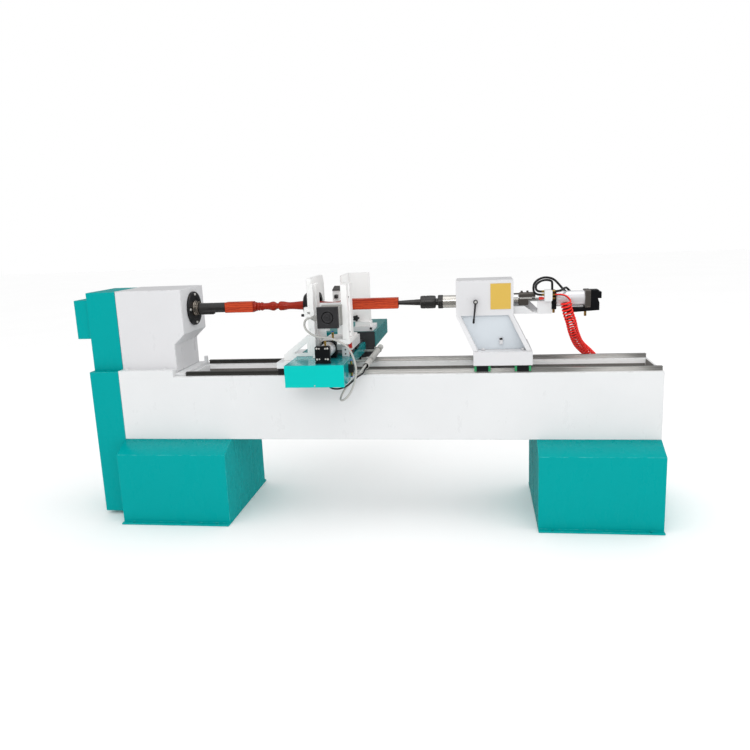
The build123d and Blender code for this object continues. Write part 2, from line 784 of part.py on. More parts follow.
def steady_plate():
    """The upright plate across the work, with a sloped rear corner and a round seat."""
    prof = [(ST_Y0, SADDLE_TOP), (ST_Y0, STEADY_TOP), (ST_Y1 - 26, STEADY_TOP), (ST_Y1, STEADY_TOP - 46)]
    prof += [(ST_Y1, SADDLE_TOP)]
    plate = prism_x(prof, ST_X0, ST_X1)
    return plate - cyl_x(RING_R - 9.95, ST_X0 - 1, ST_X1 + 1, YC, ZA)


def steady_ring():
    """The black guide ring through the plate: a barrelled collar on the spindle side and a short lip."""
    h = STEADY_T / 2 + SLIP
    end = ST_XM - RING_REACH
    tip = ST_X1 + RING_PAST
    prof = [(end, RING_BORE), (end, RING_BORE + 14), (ST_XM - 40, RING_R), (ST_XM - h, RING_R)]
    prof += [(ST_XM - h, RING_R - 10), (tip, RING_R - 10), (tip, RING_BORE)]
    return turned(prof, YC, ZA)


def steady_brackets():
    """The triangular brace, the slotted jaw block with its clamp screw and the cheek plate."""
    x1 = ST_X0
    top = SADDLE_TOP + 115
    low = BLOCK_Z + 34
    outer = [(x1, top), (x1 - 14, top), (x1 - 150, low + 30), (x1 - 150, low), (SX0, low)]
    outer += [(SX0, SADDLE_TOP), (x1, SADDLE_TOP)]
    inner = [(x1 - 16, top - 40), (x1 - 90, SADDLE_TOP + 18), (x1 - 16, SADDLE_TOP + 18)]
    brace = prism_y(outer, ST_Y0 + 7, ST_Y0 + 27) - prism_y(inner, ST_Y0, ST_Y0 + 40)
    jaw = box(ST_X0 - 14, ST_X1 + 0.0, ST_Y0 - 30, ST_Y0, ZA - 46, ZA + 7)
    jaw -= box(ST_X0 + 4, ST_X1 + 1, ST_Y0 - 31, ST_Y0 - 12, ZA - 28, ZA - 18)
    screw = hexagon_x(8, ST_X0 - 32, ST_X0 - 14, ST_Y0 - 15, ZA - 36)
    stem = box(ST_X0, ST_X1, ST_Y0 - 14, ST_Y0, ZA - 110, ZA - 46)
    return [brace, jaw, screw, stem]


def cheek_plate():
    """The fluted cheek that stiffens the steady plate on the tool side."""
    x0 = ST_X1
    x1 = ST_X1 + 27
    y0 = ST_Y0 - 55.0
    y1 = YC - RING_R - 5
    top = STEADY_TOP - 30
    prof = [(x0, y0), (x1 - 6, y0), (x1 - 6, y0 + 34), (x1 - 14, y0 + 40), (x1 - 14, y0 + 56)]
    prof += [(x1, y0 + 62), (x1, y1), (x0, y1)]
    cheek = prism_z(prof, SADDLE_TOP, top)
    return cheek


keep("steady_plate", steady_plate())
keep("steady_ring", steady_ring())
keep("steady_brackets", *steady_brackets(), cheek_plate())


# Rear housing, apron and rear tool post
HX0 = SX0 + 1.0
HX1 = SX1 + 57.0


def rear_housing():
    """The long sheet housing behind the bed, open below."""
    w = 4.0
    shell = box(HX0, HX1, HOUSING_FRONT, HOUSING_BACK, HOUSING_Z0, HOUSING_Z1)
    return shell - box(HX0 + w, HX1 - w, HOUSING_FRONT + w, HOUSING_BACK - w, HOUSING_Z0 - 1, HOUSING_Z1 - w)


def rubber_apron():
    """A hanging rubber sheet before the housing."""
    x0 = SX1 - 65
    pts = [(HOUSING_FRONT - 4.3, HOUSING_Z1 - 1), (HOUSING_FRONT - SLIP, HOUSING_Z1 - 1)]
    pts += [(HOUSING_FRONT - SLIP, HOUSING_Z0 + 20), (HOUSING_FRONT - 7, HOUSING_Z0 - 64)]
    pts += [(HOUSING_FRONT - 11, HOUSING_Z0 - 64), (HOUSING_FRONT - 4.3, HOUSING_Z0 + 20)]
    return prism_x(pts, x0, HX1 - 3)


RP_X0 = SX1 - 75.0
RP_X1 = RP_X0 + 119.0
RP_Z = HOUSING_Z1 + 28.0


def rear_post():
    """The dovetail-like base ledge of the rear tool post, with its half-round clamp bolt."""
    base = box(RP_X0, RP_X1, HOUSING_FRONT + 2, HOUSING_FRONT + 190, HOUSING_Z1, RP_Z)
    bolt = hexagon_y(8, HOUSING_FRONT - 4, HOUSING_FRONT + 2, RP_X1 - 12, RP_Z - 10)
    return [base, bolt]


RA_Y = HOUSING_FRONT + 12.0


def rear_arm():
    """The sliding rear arm: foot, back plate, forward wing, tool holder and tool."""
    x0 = SX1 - 104.0
    x1 = SX1 + 31.0
    y1 = RA_Y + 90
    foot = box(RP_X0 + 10, RP_X1 - 16, RA_Y, y1, RP_Z + SLIP, RP_Z + 30)
    top = ZA + 148
    back = box(x0, x1, RA_Y + 24, RA_Y + 32, RP_Z + 29, top)
    edge = [(RA_Y + 32, top), (RA_Y - 214, top), (RA_Y - 214, ZA + 10)]
    edge += [(RA_Y - 120, ZA - 60), (RA_Y + 32, RP_Z + 29)]
    wing = prism_x(edge, x0, x0 + 8)
    plate = foot + back + wing
    holder = box(x0 - 44, x0, RA_Y - 232, RA_Y - 170, ZA - 2, ZA + 66)
    holder -= box(x0 - 30, x0 - 12, RA_Y - 233, RA_Y - 169, ZA + 22, ZA + 42)
    hood = prism_x(
        [(RA_Y - 240, ZA + 66), (RA_Y - 165, ZA + 84), (RA_Y - 165, ZA + 88), (RA_Y - 240, ZA + 70)],
        x0 - 44,
        x0 + 8,
    )
    hood -= box(x0, x0 + 9, RA_Y - 214.5, RA_Y - 160, ZA + 60, ZA + 120)
    tool = box(x0 - 29.5, x0 - 12.5, RA_Y - 262, RA_Y - 165, ZA + 22.5, ZA + 41.5)
    return [plate, holder, hood, tool]


def star_knob():
    """The star grip that clamps the rear arm."""
    x = SX1 - 59.0
    z = RP_Z + 52
    petals = []
    for k in range(30):
        a = 2 * math.pi * k / 30
        r = 17 + 3.2 * math.cos(5 * a)
        petals.append((x + r * math.cos(a), z + r * math.sin(a)))
    y1 = RA_Y + 24 - SLIP
    grip = prism_y(petals, y1 - 26, y1 - 8)
    return grip + cyl_y(9, y1 - 9, y1, x, z)


keep("rear_housing", rear_housing(), *rear_post())
keep("rubber_apron", rubber_apron())
keep("rear_tool_arm", *rear_arm())
keep("star_knob", star_knob())

PIPE_X = SX1 + 81.0
PIPE_Z = BLOCK_Z + 9.0
PIPE_R = 17.0
CABLE_OUT = 6.0


def conduit():
    """The cable conduit beside the saddle, with two strap clips."""
    end = HOUSING_FRONT + 40
    bore = PIPE_R - 2
    pipe = cyl_y(PIPE_R, 0, end, PIPE_X, PIPE_Z) - cyl_y(bore, -1, end + 1, PIPE_X, PIPE_Z)
    out = [pipe]
    wide = PIPE_R + 3
    for y in (150, SADDLE_BACK - 49):
        strap = box(SX1, PIPE_X, y - 12, y + 12, PIPE_Z - 4, PIPE_Z + 4)
        strap += box(PIPE_X - wide, PIPE_X + wide, y - 12, y + 12, PIPE_Z - 8, PIPE_Z + wide)
        out.append(strap - cyl_y(PIPE_R + 0.05, y - 13, y + 13, PIPE_X, PIPE_Z))
    return out


keep("conduit_pipe", *conduit())


# Cross slide
TW_X1 = SX1 + 5.0
TW_X0 = TW_X1 - TOWER_W
TW_Y0 = YC - 256.0
TB_X0 = CR_LEFT - 22.0
TB_X1 = SX1 + 1.0
TB_Y0 = YC - 136.0
TB_Y1 = YC + 119.0


def cross_block(x, y):
    """A guide block on a cross rail."""
    body = box(x - 22, x + 22, y - 37, y + 37, SADDLE_TOP + 4, TABLE_Z0)
    pts = [(x + u, SADDLE_TOP + v) for u, v in saddle_clear(CROSS_W, CROSS_H, 0.4)]
    return body - prism_y(pts, y - 50, y + 50)


def cross_table():
    """The cross-slide table and its four guide blocks."""
    slab = box(TB_X0, TB_X1, TB_Y0, TB_Y1, TABLE_Z0, TABLE_Z1)
    out = [slab]
    for x in (CR_LEFT, CR_RIGHT):
        for y in (TB_Y0 + 40, TB_Y1 - 45):
            out.append(cross_block(x, y))
    return out


keep("cross_slide_table", *cross_table())


def tool_tower():
    """The tall white tool tower with a channelled flank, its foot and an inner guide."""
    y1 = TW_Y0 + TOWER_D
    z0 = TABLE_Z1 + 27
    prof = [(TW_X0, TW_Y0), (TW_X1, TW_Y0), (TW_X1, TW_Y0 + 40), (TW_X1 - 7, TW_Y0 + 46)]
    prof += [(TW_X1 - 7, TW_Y0 + 84), (TW_X1, TW_Y0 + 90), (TW_X1, y1), (TW_X0, y1)]
    tower = prism_z(prof, z0, TOWER_TOP)
    foot = box(TW_X0 - 30, TW_X1 + 4, TW_Y0, TB_Y0 + 133, TABLE_Z1, z0)
    guide = box(TW_X0 - 28, TW_X0, TW_Y0 + 15, TW_Y0 + 140, ZA - 132, ZA + 28)
    out = [tower, foot, guide]
    for z in (ZA + 58, ZA - 126):
        out.append(hexagon_x(5, TW_X1 - 7, TW_X1 - 2, TW_Y0 + 65, z))
    return out


keep("tool_tower", *tool_tower())

FM_X = SX1 - 75.0
FM_Z = ZA - 26.0
FM_Y1 = TW_Y0 - 1.0
FM_Y0 = FM_Y1 - 133.0
ELBOW_OUT = 42.0
ELBOW_Y = FM_Y0 + 60.0
ELBOW_Z = FM_Z - 6.0


def feed_motor():
    """The square feed motor with a ringed end bell, chamfered body and a grey cable elbow."""
    h = FEED_MOTOR / 2
    rear = box(FM_X - h, FM_X + h, FM_Y0 + 4, FM_Y0 + 26, FM_Z - h, FM_Z + h)
    rear = chamfer(rear.edges().filter_by(Axis.Y), 5)
    mid = box(FM_X - h + 4, FM_X + h - 4, FM_Y0 + 26, FM_Y1 - 14, FM_Z - h + 4, FM_Z + h - 4)
    mid = chamfer(mid.edges().filter_by(Axis.Y), 14)
    face = box(FM_X - h, FM_X + h, FM_Y1 - 14, FM_Y1, FM_Z - h, FM_Z + h)
    body = rear + mid + face + cyl_y(34, FM_Y0, FM_Y0 + 5, FM_X, FM_Z)
    body -= cyl_y(10, FM_Y1 - 30, FM_Y1 + 1, FM_X, FM_Z)
    x1 = FM_X - h
    elbow = hexagon_x(15, x1 - ELBOW_OUT + 14, x1, ELBOW_Y, ELBOW_Z)
    elbow += hexagon_x(11, x1 - ELBOW_OUT, x1 - ELBOW_OUT + 15, ELBOW_Y, ELBOW_Z)
    return [body, elbow]


def motor_plate():
    """The grey plate that carries the feed motor, ribbed below."""
    y1 = FM_Y1 + 15
    plate = box(FM_X - 66, TW_X0, FM_Y1, y1, FM_Z - 58, FM_Z + 62)
    plate += box(FM_X - 44, FM_X - 18, FM_Y1 + 2, y1, FM_Z - 84, FM_Z - 57)
    return plate - cyl_y(11, FM_Y1 - 1, y1 + 1, FM_X, FM_Z)


def feed_screw():
    """The feed screw with its journal in the motor."""
    bar = cyl_y(9.5, FM_Y1 - 24, FM_Y1 + 20, FM_X, FM_Z)
    return bar + cyl_y(9, FM_Y1 + 19, FM_Y1 + 132, FM_X, FM_Z)


keep("feed_motor", *feed_motor())
keep("motor_plate", motor_plate())
keep("feed_screw", feed_screw())

TS_Y0 = FM_Y1 + 26
TS_Y1 = TS_Y0 + 44


def tool_slide():
    """The tool slide on the tower's guide, bored for the screw, with a clamp bar over the tool."""
    x1 = TW_X0 - 28 - SLIP
    block = box(FM_X - 62, x1, TS_Y0, TS_Y1, FM_Z - 34, ZA - 1)
    block -= cyl_y(9.6, TS_Y0 - 1, TS_Y1 + 1, FM_X, FM_Z)
    block -= box(FM_X - 52, FM_X - 27.8, TS_Y0 - 1, TS_Y1 + 1, ZA - 20, ZA)
    clamp = box(FM_X - 62, FM_X - 14, TS_Y0 + 4, TS_Y1 - 4, ZA - 1, ZA + 9)
    screws = [hexagon_z(5, ZA + 9, ZA + 15, x, TS_Y0 + 22) for x in (FM_X - 57, FM_X - 20)]
    return [block, clamp] + screws


def turning_tool():
    """The turning chisel with a ground vee tip."""
    x = FM_X - 40
    y1 = YC - 0.75 * WORK_SIDE - 100
    prof = [(x - 12, TS_Y0 - 5), (x + 12, TS_Y0 - 5), (x + 12, y1 - 18), (x, y1), (x - 12, y1 - 18)]
    return prism_z(prof, ZA - 19.7, ZA - 1.3)


keep("tool_slide", *tool_slide())
keep("turning_tool", turning_tool())


def cylinder_rod():
    """Piston and rod of the slide cylinder, ending on the table."""
    rod = cyl_y(10, CYL_Y1 - 110, TB_Y0, CYL_X, CYL_Z)
    piston = cyl_y(31.4, CYL_Y1 - 122, CYL_Y1 - 102, CYL_X, CYL_Z)
    return rod + piston


keep("slide_cylinder_rod", cylinder_rod())


# Tailstock
BT_X0 = TAIL_X + TAIL_LEAN
BT_X1 = BT_X0 + 302.0
TB_IN = YC - TAIL_HALF
PANEL_IN = 90.0
LATCH_Y = PANEL_IN - 6.0


def tail_base():
    """The base block over both rails, with two hold-down bolts in front."""
    body = box(BT_X0, BT_X1, 5, BED_DEPTH - 5, BLOCK_Z, TAIL_BASE_TOP)
    y0 = LEDGE_W + 10
    body -= box(BT_X0 + 10, BT_X1 - 10, y0, BED_DEPTH - y0, BLOCK_Z - 1, TAIL_BASE_TOP - 14)
    bolts = [hexagon_z(9, TAIL_BASE_TOP, TAIL_BASE_TOP + 11, BT_X0 + 52, 60)]
    bolts.append(hexagon_z(9, TAIL_BASE_TOP, TAIL_BASE_TOP + 11, BT_X1 - 46, 60))
    return [body] + bolts


def tail_body():
    """The welded upper box on two leaning cheeks, with recessed panels between them."""
    x0 = TAIL_X
    x1 = TAIL_X + TAIL_W
    ya = TB_IN
    yb = BED_DEPTH - TB_IN
    z0 = TAIL_BOX_Z0
    body = box(x0, x1, ya, yb, z0, TAIL_TOP)
    body -= box(x0 + 12, x1 - 12, ya + 12, yb - 12, z0 - 1, TAIL_TOP - 12)
    t = 26.0
    for a in (x0, x1 - t):
        lean = [(a, z0), (a + t, z0), (a + t + TAIL_LEAN, TAIL_BASE_TOP), (a + TAIL_LEAN, TAIL_BASE_TOP)]
        cheek = prism_y(lean, 0, BED_DEPTH)
        side = [(20, TAIL_BASE_TOP), (ya, z0), (yb, z0), (BED_DEPTH - 20, TAIL_BASE_TOP)]
        body += cheek & prism_x(side, x0 - 10, x1 + TAIL_LEAN + 10)
    web = [(x0 + 4, z0), (x1 - 4, z0)]
    web += [(x1 - 4 + TAIL_LEAN, TAIL_BASE_TOP), (x0 + 4 + TAIL_LEAN, TAIL_BASE_TOP)]
    pa = PANEL_IN
    pb = BED_DEPTH - PANEL_IN
    inner = [(pa, TAIL_BASE_TOP), (ya + 16, z0 + 10), (yb - 16, z0 + 10), (pb, TAIL_BASE_TOP)]
    core = [(pa + 10, TAIL_BASE_TOP - 1), (ya + 24, z0 + 11)]
    core += [(yb - 24, z0 + 11), (pb - 10, TAIL_BASE_TOP - 1)]
    panel = prism_y(web, 60, BED_DEPTH - 60) & prism_x(inner, x0 - 10, x1 + TAIL_LEAN + 10)
    panel -= prism_x(core, x0 - 20, x1 + TAIL_LEAN + 20)
    body += panel
    sleeve = cyl_x(QUILL_R + 16, x0, x1, YC, ZA)
    body += sleeve
    body -= cyl_x(QUILL_R + 0.05, x0 - 1, x1 - 60, YC, ZA)
    body -= cyl_x(13, x1 - 61, x1 + 1, YC, ZA)
    zl = TAIL_BASE_TOP + 26
    rise = (ya + 16 - pa) / (z0 + 10 - TAIL_BASE_TOP)
    seat = [(pa + rise * (z - TAIL_BASE_TOP), z) for z in (zl, zl + 36)]
    latch = prism_x([(LATCH_Y, zl), seat[0], seat[1], (LATCH_Y, zl + 36)], x0 + 223, x0 + 241)
    return [body, latch]


keep("tailstock_base", *tail_base())
keep("tailstock_body", *tail_body())

tail_blocks = []
for bx in (BT_X0 + 4.5 + BLOCK_L / 2, BT_X1 - 8.5 - BLOCK_L / 2):
    for by in (RAIL_YF, RAIL_YR):
        tail_blocks += block_x(bx, by)
keep("tail_guide_blocks", *tail_blocks)

XCN = XW1 + SLIP


def quill():
    """The sliding quill with its flanged nose and pull rod."""
    x1 = TAIL_X + TAIL_W - 112
    prof = [(XCN + 206, 0), (XCN + 206, 19), (XCN + 217, 19), (XCN + 217, 36.5), (XCN + 244, 36.5)]
    x2 = TAIL_X + TAIL_W + 30
    prof += [(XCN + 244, QUILL_R), (x1, QUILL_R), (x1, 12), (x2, 12), (x2, 0)]
    return turned(prof, YC, ZA)


def live_center():
    """The running centre: long cone, body and collar."""
    x = XCN
    prof = [(x, 0), (x, 11), (x + 122, 16.5), (x + 122, 35), (x + 204, 35), (x + 204, 19)]
    prof += [(x + 206 - SLIP, 19), (x + 206 - SLIP, 0)]
    return turned(prof, YC, ZA)


keep("quill", quill())
keep("live_center", live_center())

LV_X = TAIL_X + 102.0
LEVER_OUT = 20.0


def clamp_lever():
    """The quill clamp lever, its arm held clear of the leaning cheeks by a long hub."""
    y1 = TB_IN - SLIP
    z = ZA + 7
    ring = cyl_y(12, y1 - LEVER_OUT - 10, y1, LV_X, z)
    prof = [(LV_X - 7, z - 8), (LV_X + 7, z - 8), (LV_X - 8, z - 116), (LV_X - 18, z - 116)]
    return ring + prism_y(prof, y1 - LEVER_OUT - 8, y1 - LEVER_OUT)


def data_plate():
    """A plain blank plate on the front of the upper box."""
    return box(TAIL_X + 179, TAIL_X + 283, TB_IN - 2, TB_IN, ZA - 36, ZA + 98)


keep("clamp_lever", clamp_lever())
keep("blank_plate", data_plate())

TX1 = TAIL_X + TAIL_W
CC_X0 = TX1 + 200.0
CC_X1 = CC_X0 + 198.0


def rod_coupling():
    """The black coupling between the quill's pull rod and the cylinder rod, with two clamp bolts."""
    x0 = TX1 + 30
    top = ZA + 38
    body = box(x0, x0 + 88, YC - 24, YC + 24, ZA - 28, top)
    body = chamfer(body.edges().filter_by(Axis.X), 5)
    rod = cyl_x(10, x0 + 87, CC_X0 + 90, YC, ZA)
    piston = cyl_x(35.9, CC_X0 + 78, CC_X0 + 96, YC, ZA)
    bolts = [hexagon_z(5.5, top, top + 9, x, YC) for x in (x0 + 18, x0 + 48)]
    return [body + rod + piston] + bolts


def tail_cylinder():
    """The tailstock cylinder: barrel, end caps, rear block and ports."""
    barrel = cyl_x(TAIL_CYL_R, CC_X0 + 24, CC_X1 - 28, YC, ZA) - cyl_x(36, CC_X0 + 23, CC_X1 - 27, YC, ZA)
    h = 46.0
    front = box(CC_X0, CC_X0 + 24, YC - h, YC + h, ZA - h - 6, ZA + h)
    front = chamfer(front.edges().filter_by(Axis.X), 6)
    front -= cyl_x(10.05, CC_X0 - 1, CC_X0 + 25, YC, ZA)
    rear = box(CC_X1 - 28, CC_X1, YC - h, YC + h, ZA - h, ZA + h)
    rear = chamfer(rear.edges().filter_by(Axis.X), 6)
    edge = [(0, 44), (42, 44), (42, 34), (56, 34), (56, 0), (38, 0), (46, -24), (46, -62)]
    edge += [(-120, -72), (-120, -47), (0, -47)]
    block = prism_y([(CC_X1 + x, ZA + z) for x, z in edge], YC - 34, YC + 34)
    ports = [hexagon_z(7, ZA - h - 26, ZA - h - 6, CC_X0 + 12, YC - 20)]
    ports.append(hexagon_z(7, ZA - 92, ZA - 66.5, CC_X1 - 24, YC - 20))
    ports.append(box(CC_X0 + 2, CC_X0 + 22, YC + h, YC + h + 20, ZA + 16, ZA + 36))
    ports.append(box(CC_X1 - 24, CC_X1 - 4, YC + h, YC + h + 36, ZA - 10, ZA + 10))
    return [barrel, front, rear, block] + ports


def cylinder_bracket():
    """The white bracket from the tailstock to the cylinder: arm, gusset and valve plate."""
    y0 = YC - 44
    arm = box(TX1, CC_X0, y0, YC + 44, ZA - 70, ZA - 62)
    gusset = [(TX1, ZA - 63), (TX1, ZA - 30), (TX1 + 60, ZA - 30), (TX1 + 104, ZA - 63)]
    arm += prism_y(gusset, y0, y0 + 8)
    arm += prism_y(gusset, YC + 36, YC + 44)
    arm += box(CC_X0 - 8, CC_X0, y0, YC + 44, ZA - 63, ZA - 16)
    plate = box(CC_X0 - 74, CC_X0 - 2, y0 - 6, y0, ZA - 72, ZA - 4)
    return [arm, plate]


keep("rod_coupling", *rod_coupling())
keep("tail_cylinder", *tail_cylinder())
keep("cylinder_bracket", *cylinder_bracket())

HV_X0 = CC_X0 - 41.0
HV_X1 = HV_X0 + 40.0
HV_Y1 = YC - 44.0
HV_Y0 = HV_Y1 - 44.0
HV_YM = (HV_Y0 + HV_Y1) / 2
BUTTON_Z = ZA + 11.0
BUTTON_TRAVEL = 5.0


def hand_valve():
    """The hand valve on its plate: body and hexagon unions on both sides."""
    body = box(HV_X0, HV_X1, HV_Y0, HV_Y1, ZA - 4, ZA + 55)
    body = chamfer(body.edges().filter_by(Axis.Y), 4)
    s = 4 + SLIP
    deep = BUTTON_TRAVEL + 3
    body -= box(HV_X0 - 1, HV_X0 + deep, HV_YM - s, HV_YM + s, BUTTON_Z - s, BUTTON_Z + s)
    out = [body]
    for z in (ZA + 10, ZA + 28, ZA + 46):
        out.append(hexagon_x(6.5, HV_X1, HV_X1 + 16, HV_YM, z))
    for z in (ZA + 29, ZA + 46):
        out.append(hexagon_x(6.5, HV_X0 - 13, HV_X0, HV_YM, z))
    return out


def valve_button():
    """The red push button on the valve's left side, its square stem in the valve's pocket."""
    y = HV_YM
    z = BUTTON_Z
    cap = cyl_x(8, HV_X0 - 27, HV_X0 - BUTTON_TRAVEL - 3, y, z)
    return cap + box(HV_X0 - BUTTON_TRAVEL - 4, HV_X0 + 2, y - 4, y + 4, z - 4, z + 4)


keep("hand_valve", *hand_valve())
keep("valve_button", valve_button())


# Soft pieces
def from_saddle(*pts):
    """Route points measured from the saddle's top right edge."""
    return [(SX1 + x, y, SADDLE_TOP + z) for x, y, z in pts]


def from_cylinder(*pts):
    """Route points measured from the middle of the tail cylinder's front face."""
    return [(CC_X0 + x, YC + y, ZA + z) for x, y, z in pts]


def grey_cable():
    """The feed motor's cable, out of the elbow and round under the apron into the conduit."""
    x0 = FM_X - FEED_MOTOR / 2 - ELBOW_OUT - SLIP
    pts = [(x0, ELBOW_Y, ELBOW_Z), (x0 - 30, ELBOW_Y, ELBOW_Z), (x0 - 40, ELBOW_Y - 2, ELBOW_Z - 48)]
    pts += from_saddle((-174, -134, 150), (-135, -148, 136), (-89, -158, 135), (-41, -165, 124))
    pts += from_saddle((1, -165, 102), (30, -158, 69), (47, -152, 20), (56, -148, -37))
    pts += from_saddle((47, -150, -90), (29, -157, -140))
    pts += from_saddle((-1, -160, -183), (-37, -138, -202), (-43, -96, -189), (-21, -80, -148))
    pts += from_saddle((12, -70, -115), (41, -50, -87), (63, -40, -62))
    pts += [(PIPE_X, -22, PIPE_Z + CABLE_OUT), (PIPE_X, 46, PIPE_Z + CABLE_OUT)]
    return routed(pts, GREY_R, "grey cable")


def black_cable():
    """A second cable from under the apron into the conduit."""
    pts = from_saddle((-113, -112, -79), (-113, -112, -115), (-89, -108, -141), (-52, -103, -146))
    pts += from_saddle((-18, -97, -137), (11, -86, -119), (41, -66, -91), (73, -40, -77))
    pts += [(PIPE_X, -10, PIPE_Z - CABLE_OUT), (PIPE_X, 44, PIPE_Z - CABLE_OUT)]
    return routed(pts, BLACK_R, "black cable")


def air_tubes():
    """Three black air tubes looping from the valve over to the cylinder."""
    left = HV_X0 - 13 - SLIP
    right = HV_X1 + 16 + SLIP
    end = CC_X1 - 24 - SLIP
    yb = YC + 56
    ym = HV_YM - YC
    outer = [(left, HV_YM, ZA + 29)]
    outer += from_cylinder((-93, ym, 29), (-97, -60, 82), (-69, -45, 108), (-32, -29, 117), (11, -6, 106))
    outer += from_cylinder((43, 22, 74), (72, 47, 40), (108, 56, 12), (143, 56, 0))
    outer += [(end, yb, ZA)]
    inner = [(left, HV_YM, ZA + 46)]
    inner += from_cylinder((-80, ym, 46), (-82, -58, 85), (-57, -39, 99), (-24, -21, 102))
    inner += from_cylinder((2, 11, 90), (12, 56, 74))
    inner += [(CC_X0 + 12, yb, ZA + 36 + SLIP)]
    third = [(right, HV_YM, ZA + 46)]
    third += from_cylinder((40, ym, 46), (61, -45, 58), (76, -5, 58), (86, 41, 52))
    third += from_cylinder((108, 68, 30), (136, 72, 0))
    third += [(end, yb + 16, ZA)]
    return [routed(p, TUBE_R, "air tube") for p in (outer, inner, third)]


def spiral_hose():
    """The red spiral hose from the valve to a union behind the bed, wound in one unbroken tube."""
    start = Vector(HV_X1 + 16 + SLIP, HV_YM, ZA + 28)
    axis = from_cylinder((67, -85, -8), (74, -79, -48), (86, -64, -84), (101, -39, -118))
    axis += from_cylinder((115, 4, -166), (133, 54, -207), (156, 114, -253), (183, 169, -287))
    axis += from_cylinder((232, 235, -334), (267, 269, -372), (283, 283, -416))
    spine = Spline(*axis)
    n = COIL_TURNS * 4
    pts = []
    side = Vector(1, 0, 0)
    for k in range(n + 1):
        u = k / n
        t = unit(spine.tangent_at(u))
        side = unit(side - t * side.dot(t))
        a = math.pi / 2 * k
        out = side * math.cos(a) + t.cross(side) * math.sin(a)
        pts.append(spine.position_at(u) + out * COIL_R)
    tans = [unit(pts[min(n, k + 1)] - pts[max(0, k - 1)]) for k in range(n + 1)]
    for k, u in ((0, 0.0), (n, 1.0)):
        t = unit(spine.tangent_at(u))
        out = unit(pts[k] - spine.position_at(u))
        tans[k] = unit(t.cross(out) + t * 0.15)
    lead = start + Vector(2.4 * HOSE_R, 0, 0)
    tail = Vector(*from_cylinder((293, 285, -468))[0])
    edges = [Line(start, lead).edge()]
    edges += biarc(lead, Vector(1, 0, 0), pts[0], tans[0])
    for k in range(n):
        edges += biarc(pts[k], tans[k], pts[k + 1], tans[k + 1])
    edges += biarc(pts[n], tans[n], tail, Vector(0, 0, -1))
    edges.append(Line(tail, tail - Vector(0, 0, 2.4 * HOSE_R)).edge())
    probe = []
    for e in edges:
        probe += [e.position_at(i / 6) for i in range(6)]
    gap = 1e9
    for i, p in enumerate(probe):
        for q in probe[i + 24 :: 2]:
            gap = min(gap, (p - q).length)
    print("spiral hose: least gap to itself", round(gap - 2 * HOSE_R, 2))
    return tube(edges, HOSE_R), tail - Vector(0, 0, 2.4 * HOSE_R)


def biarc(p, t, q, s):
    """Two arcs that leave p along t and reach q along s."""
    v = q - p
    both = t + s
    a = 2 * (1 - t.dot(s))
    b = 2 * v.dot(both)
    c = -v.dot(v)
    if abs(a) < 1e-9:
        d = -c / b
    else:
        d = (-b + math.sqrt(b * b - 4 * a * c)) / (2 * a)
    joint = (p + t * d + q - s * d) * 0.5
    out = []
    m1 = arc_mid(p, t, joint)
    out.append(Line(p, joint).edge() if m1 is None else ThreePointArc(p, m1, joint).edge())
    m2 = arc_mid(q, s * -1, joint)
    out.append(Line(joint, q).edge() if m2 is None else ThreePointArc(joint, m2, q).edge())
    return out


keep("motor_cable", grey_cable())
keep("black_cable", black_cable())
keep("air_tubes", *air_tubes())
hose, hose_end = spiral_hose()
keep("spiral_hose", hose)


def air_union():
    """The brass union behind the bed that feeds the spiral hose, on its bracket."""
    x = hose_end.X
    y = hose_end.Y
    z = hose_end.Z
    body = hexagon_z(9, z - 26, z - SLIP, x, y)
    arm = box(x - 14, x + 14, BED_DEPTH, y + 12, z - 36, z - 26)
    return [body, arm]


keep("air_union", *air_union())

for name, solids in parts.items():
    shape = solids[0] if len(solids) == 1 else Compound(children=solids)
    export_step(shape, os.path.join("parts", name + ".step"))
print(len(parts), "nodes")
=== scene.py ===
"""The looks of an automatic wood-turning lathe, built round its packed construction frame."""
import json
import logging
import math
from contextlib import contextmanager
from dataclasses import dataclass, field
from enum import Enum
from functools import cache
from typing import Any, Callable, ClassVar, Iterator, Optional, Protocol, Sequence

import bpy
from mathutils import Matrix, Vector
from mathutils.kdtree import KDTree

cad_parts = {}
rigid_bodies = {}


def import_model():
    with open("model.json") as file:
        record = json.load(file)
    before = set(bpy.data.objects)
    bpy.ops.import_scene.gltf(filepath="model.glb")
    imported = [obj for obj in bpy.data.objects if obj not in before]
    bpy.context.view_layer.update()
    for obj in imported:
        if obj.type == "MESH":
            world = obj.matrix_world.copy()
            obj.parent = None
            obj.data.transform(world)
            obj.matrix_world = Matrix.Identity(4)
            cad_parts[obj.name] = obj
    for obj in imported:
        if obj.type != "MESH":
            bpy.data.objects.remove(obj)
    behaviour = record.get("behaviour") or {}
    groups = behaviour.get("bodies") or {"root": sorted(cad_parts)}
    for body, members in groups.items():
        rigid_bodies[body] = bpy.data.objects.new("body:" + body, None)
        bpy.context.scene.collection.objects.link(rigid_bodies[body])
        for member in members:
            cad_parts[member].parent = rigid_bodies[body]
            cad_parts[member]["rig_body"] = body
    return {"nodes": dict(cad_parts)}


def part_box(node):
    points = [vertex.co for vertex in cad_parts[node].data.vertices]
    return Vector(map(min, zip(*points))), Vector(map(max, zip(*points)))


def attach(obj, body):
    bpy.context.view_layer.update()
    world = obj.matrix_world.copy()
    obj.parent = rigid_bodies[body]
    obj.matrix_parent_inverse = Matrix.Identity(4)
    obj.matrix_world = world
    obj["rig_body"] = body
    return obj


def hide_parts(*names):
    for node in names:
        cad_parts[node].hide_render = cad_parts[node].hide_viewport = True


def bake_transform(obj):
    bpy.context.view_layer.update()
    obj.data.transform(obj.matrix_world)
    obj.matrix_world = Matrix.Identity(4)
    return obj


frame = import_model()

Piece = bpy.types.Object
Finish = bpy.types.Material
Socket = bpy.types.NodeSocket
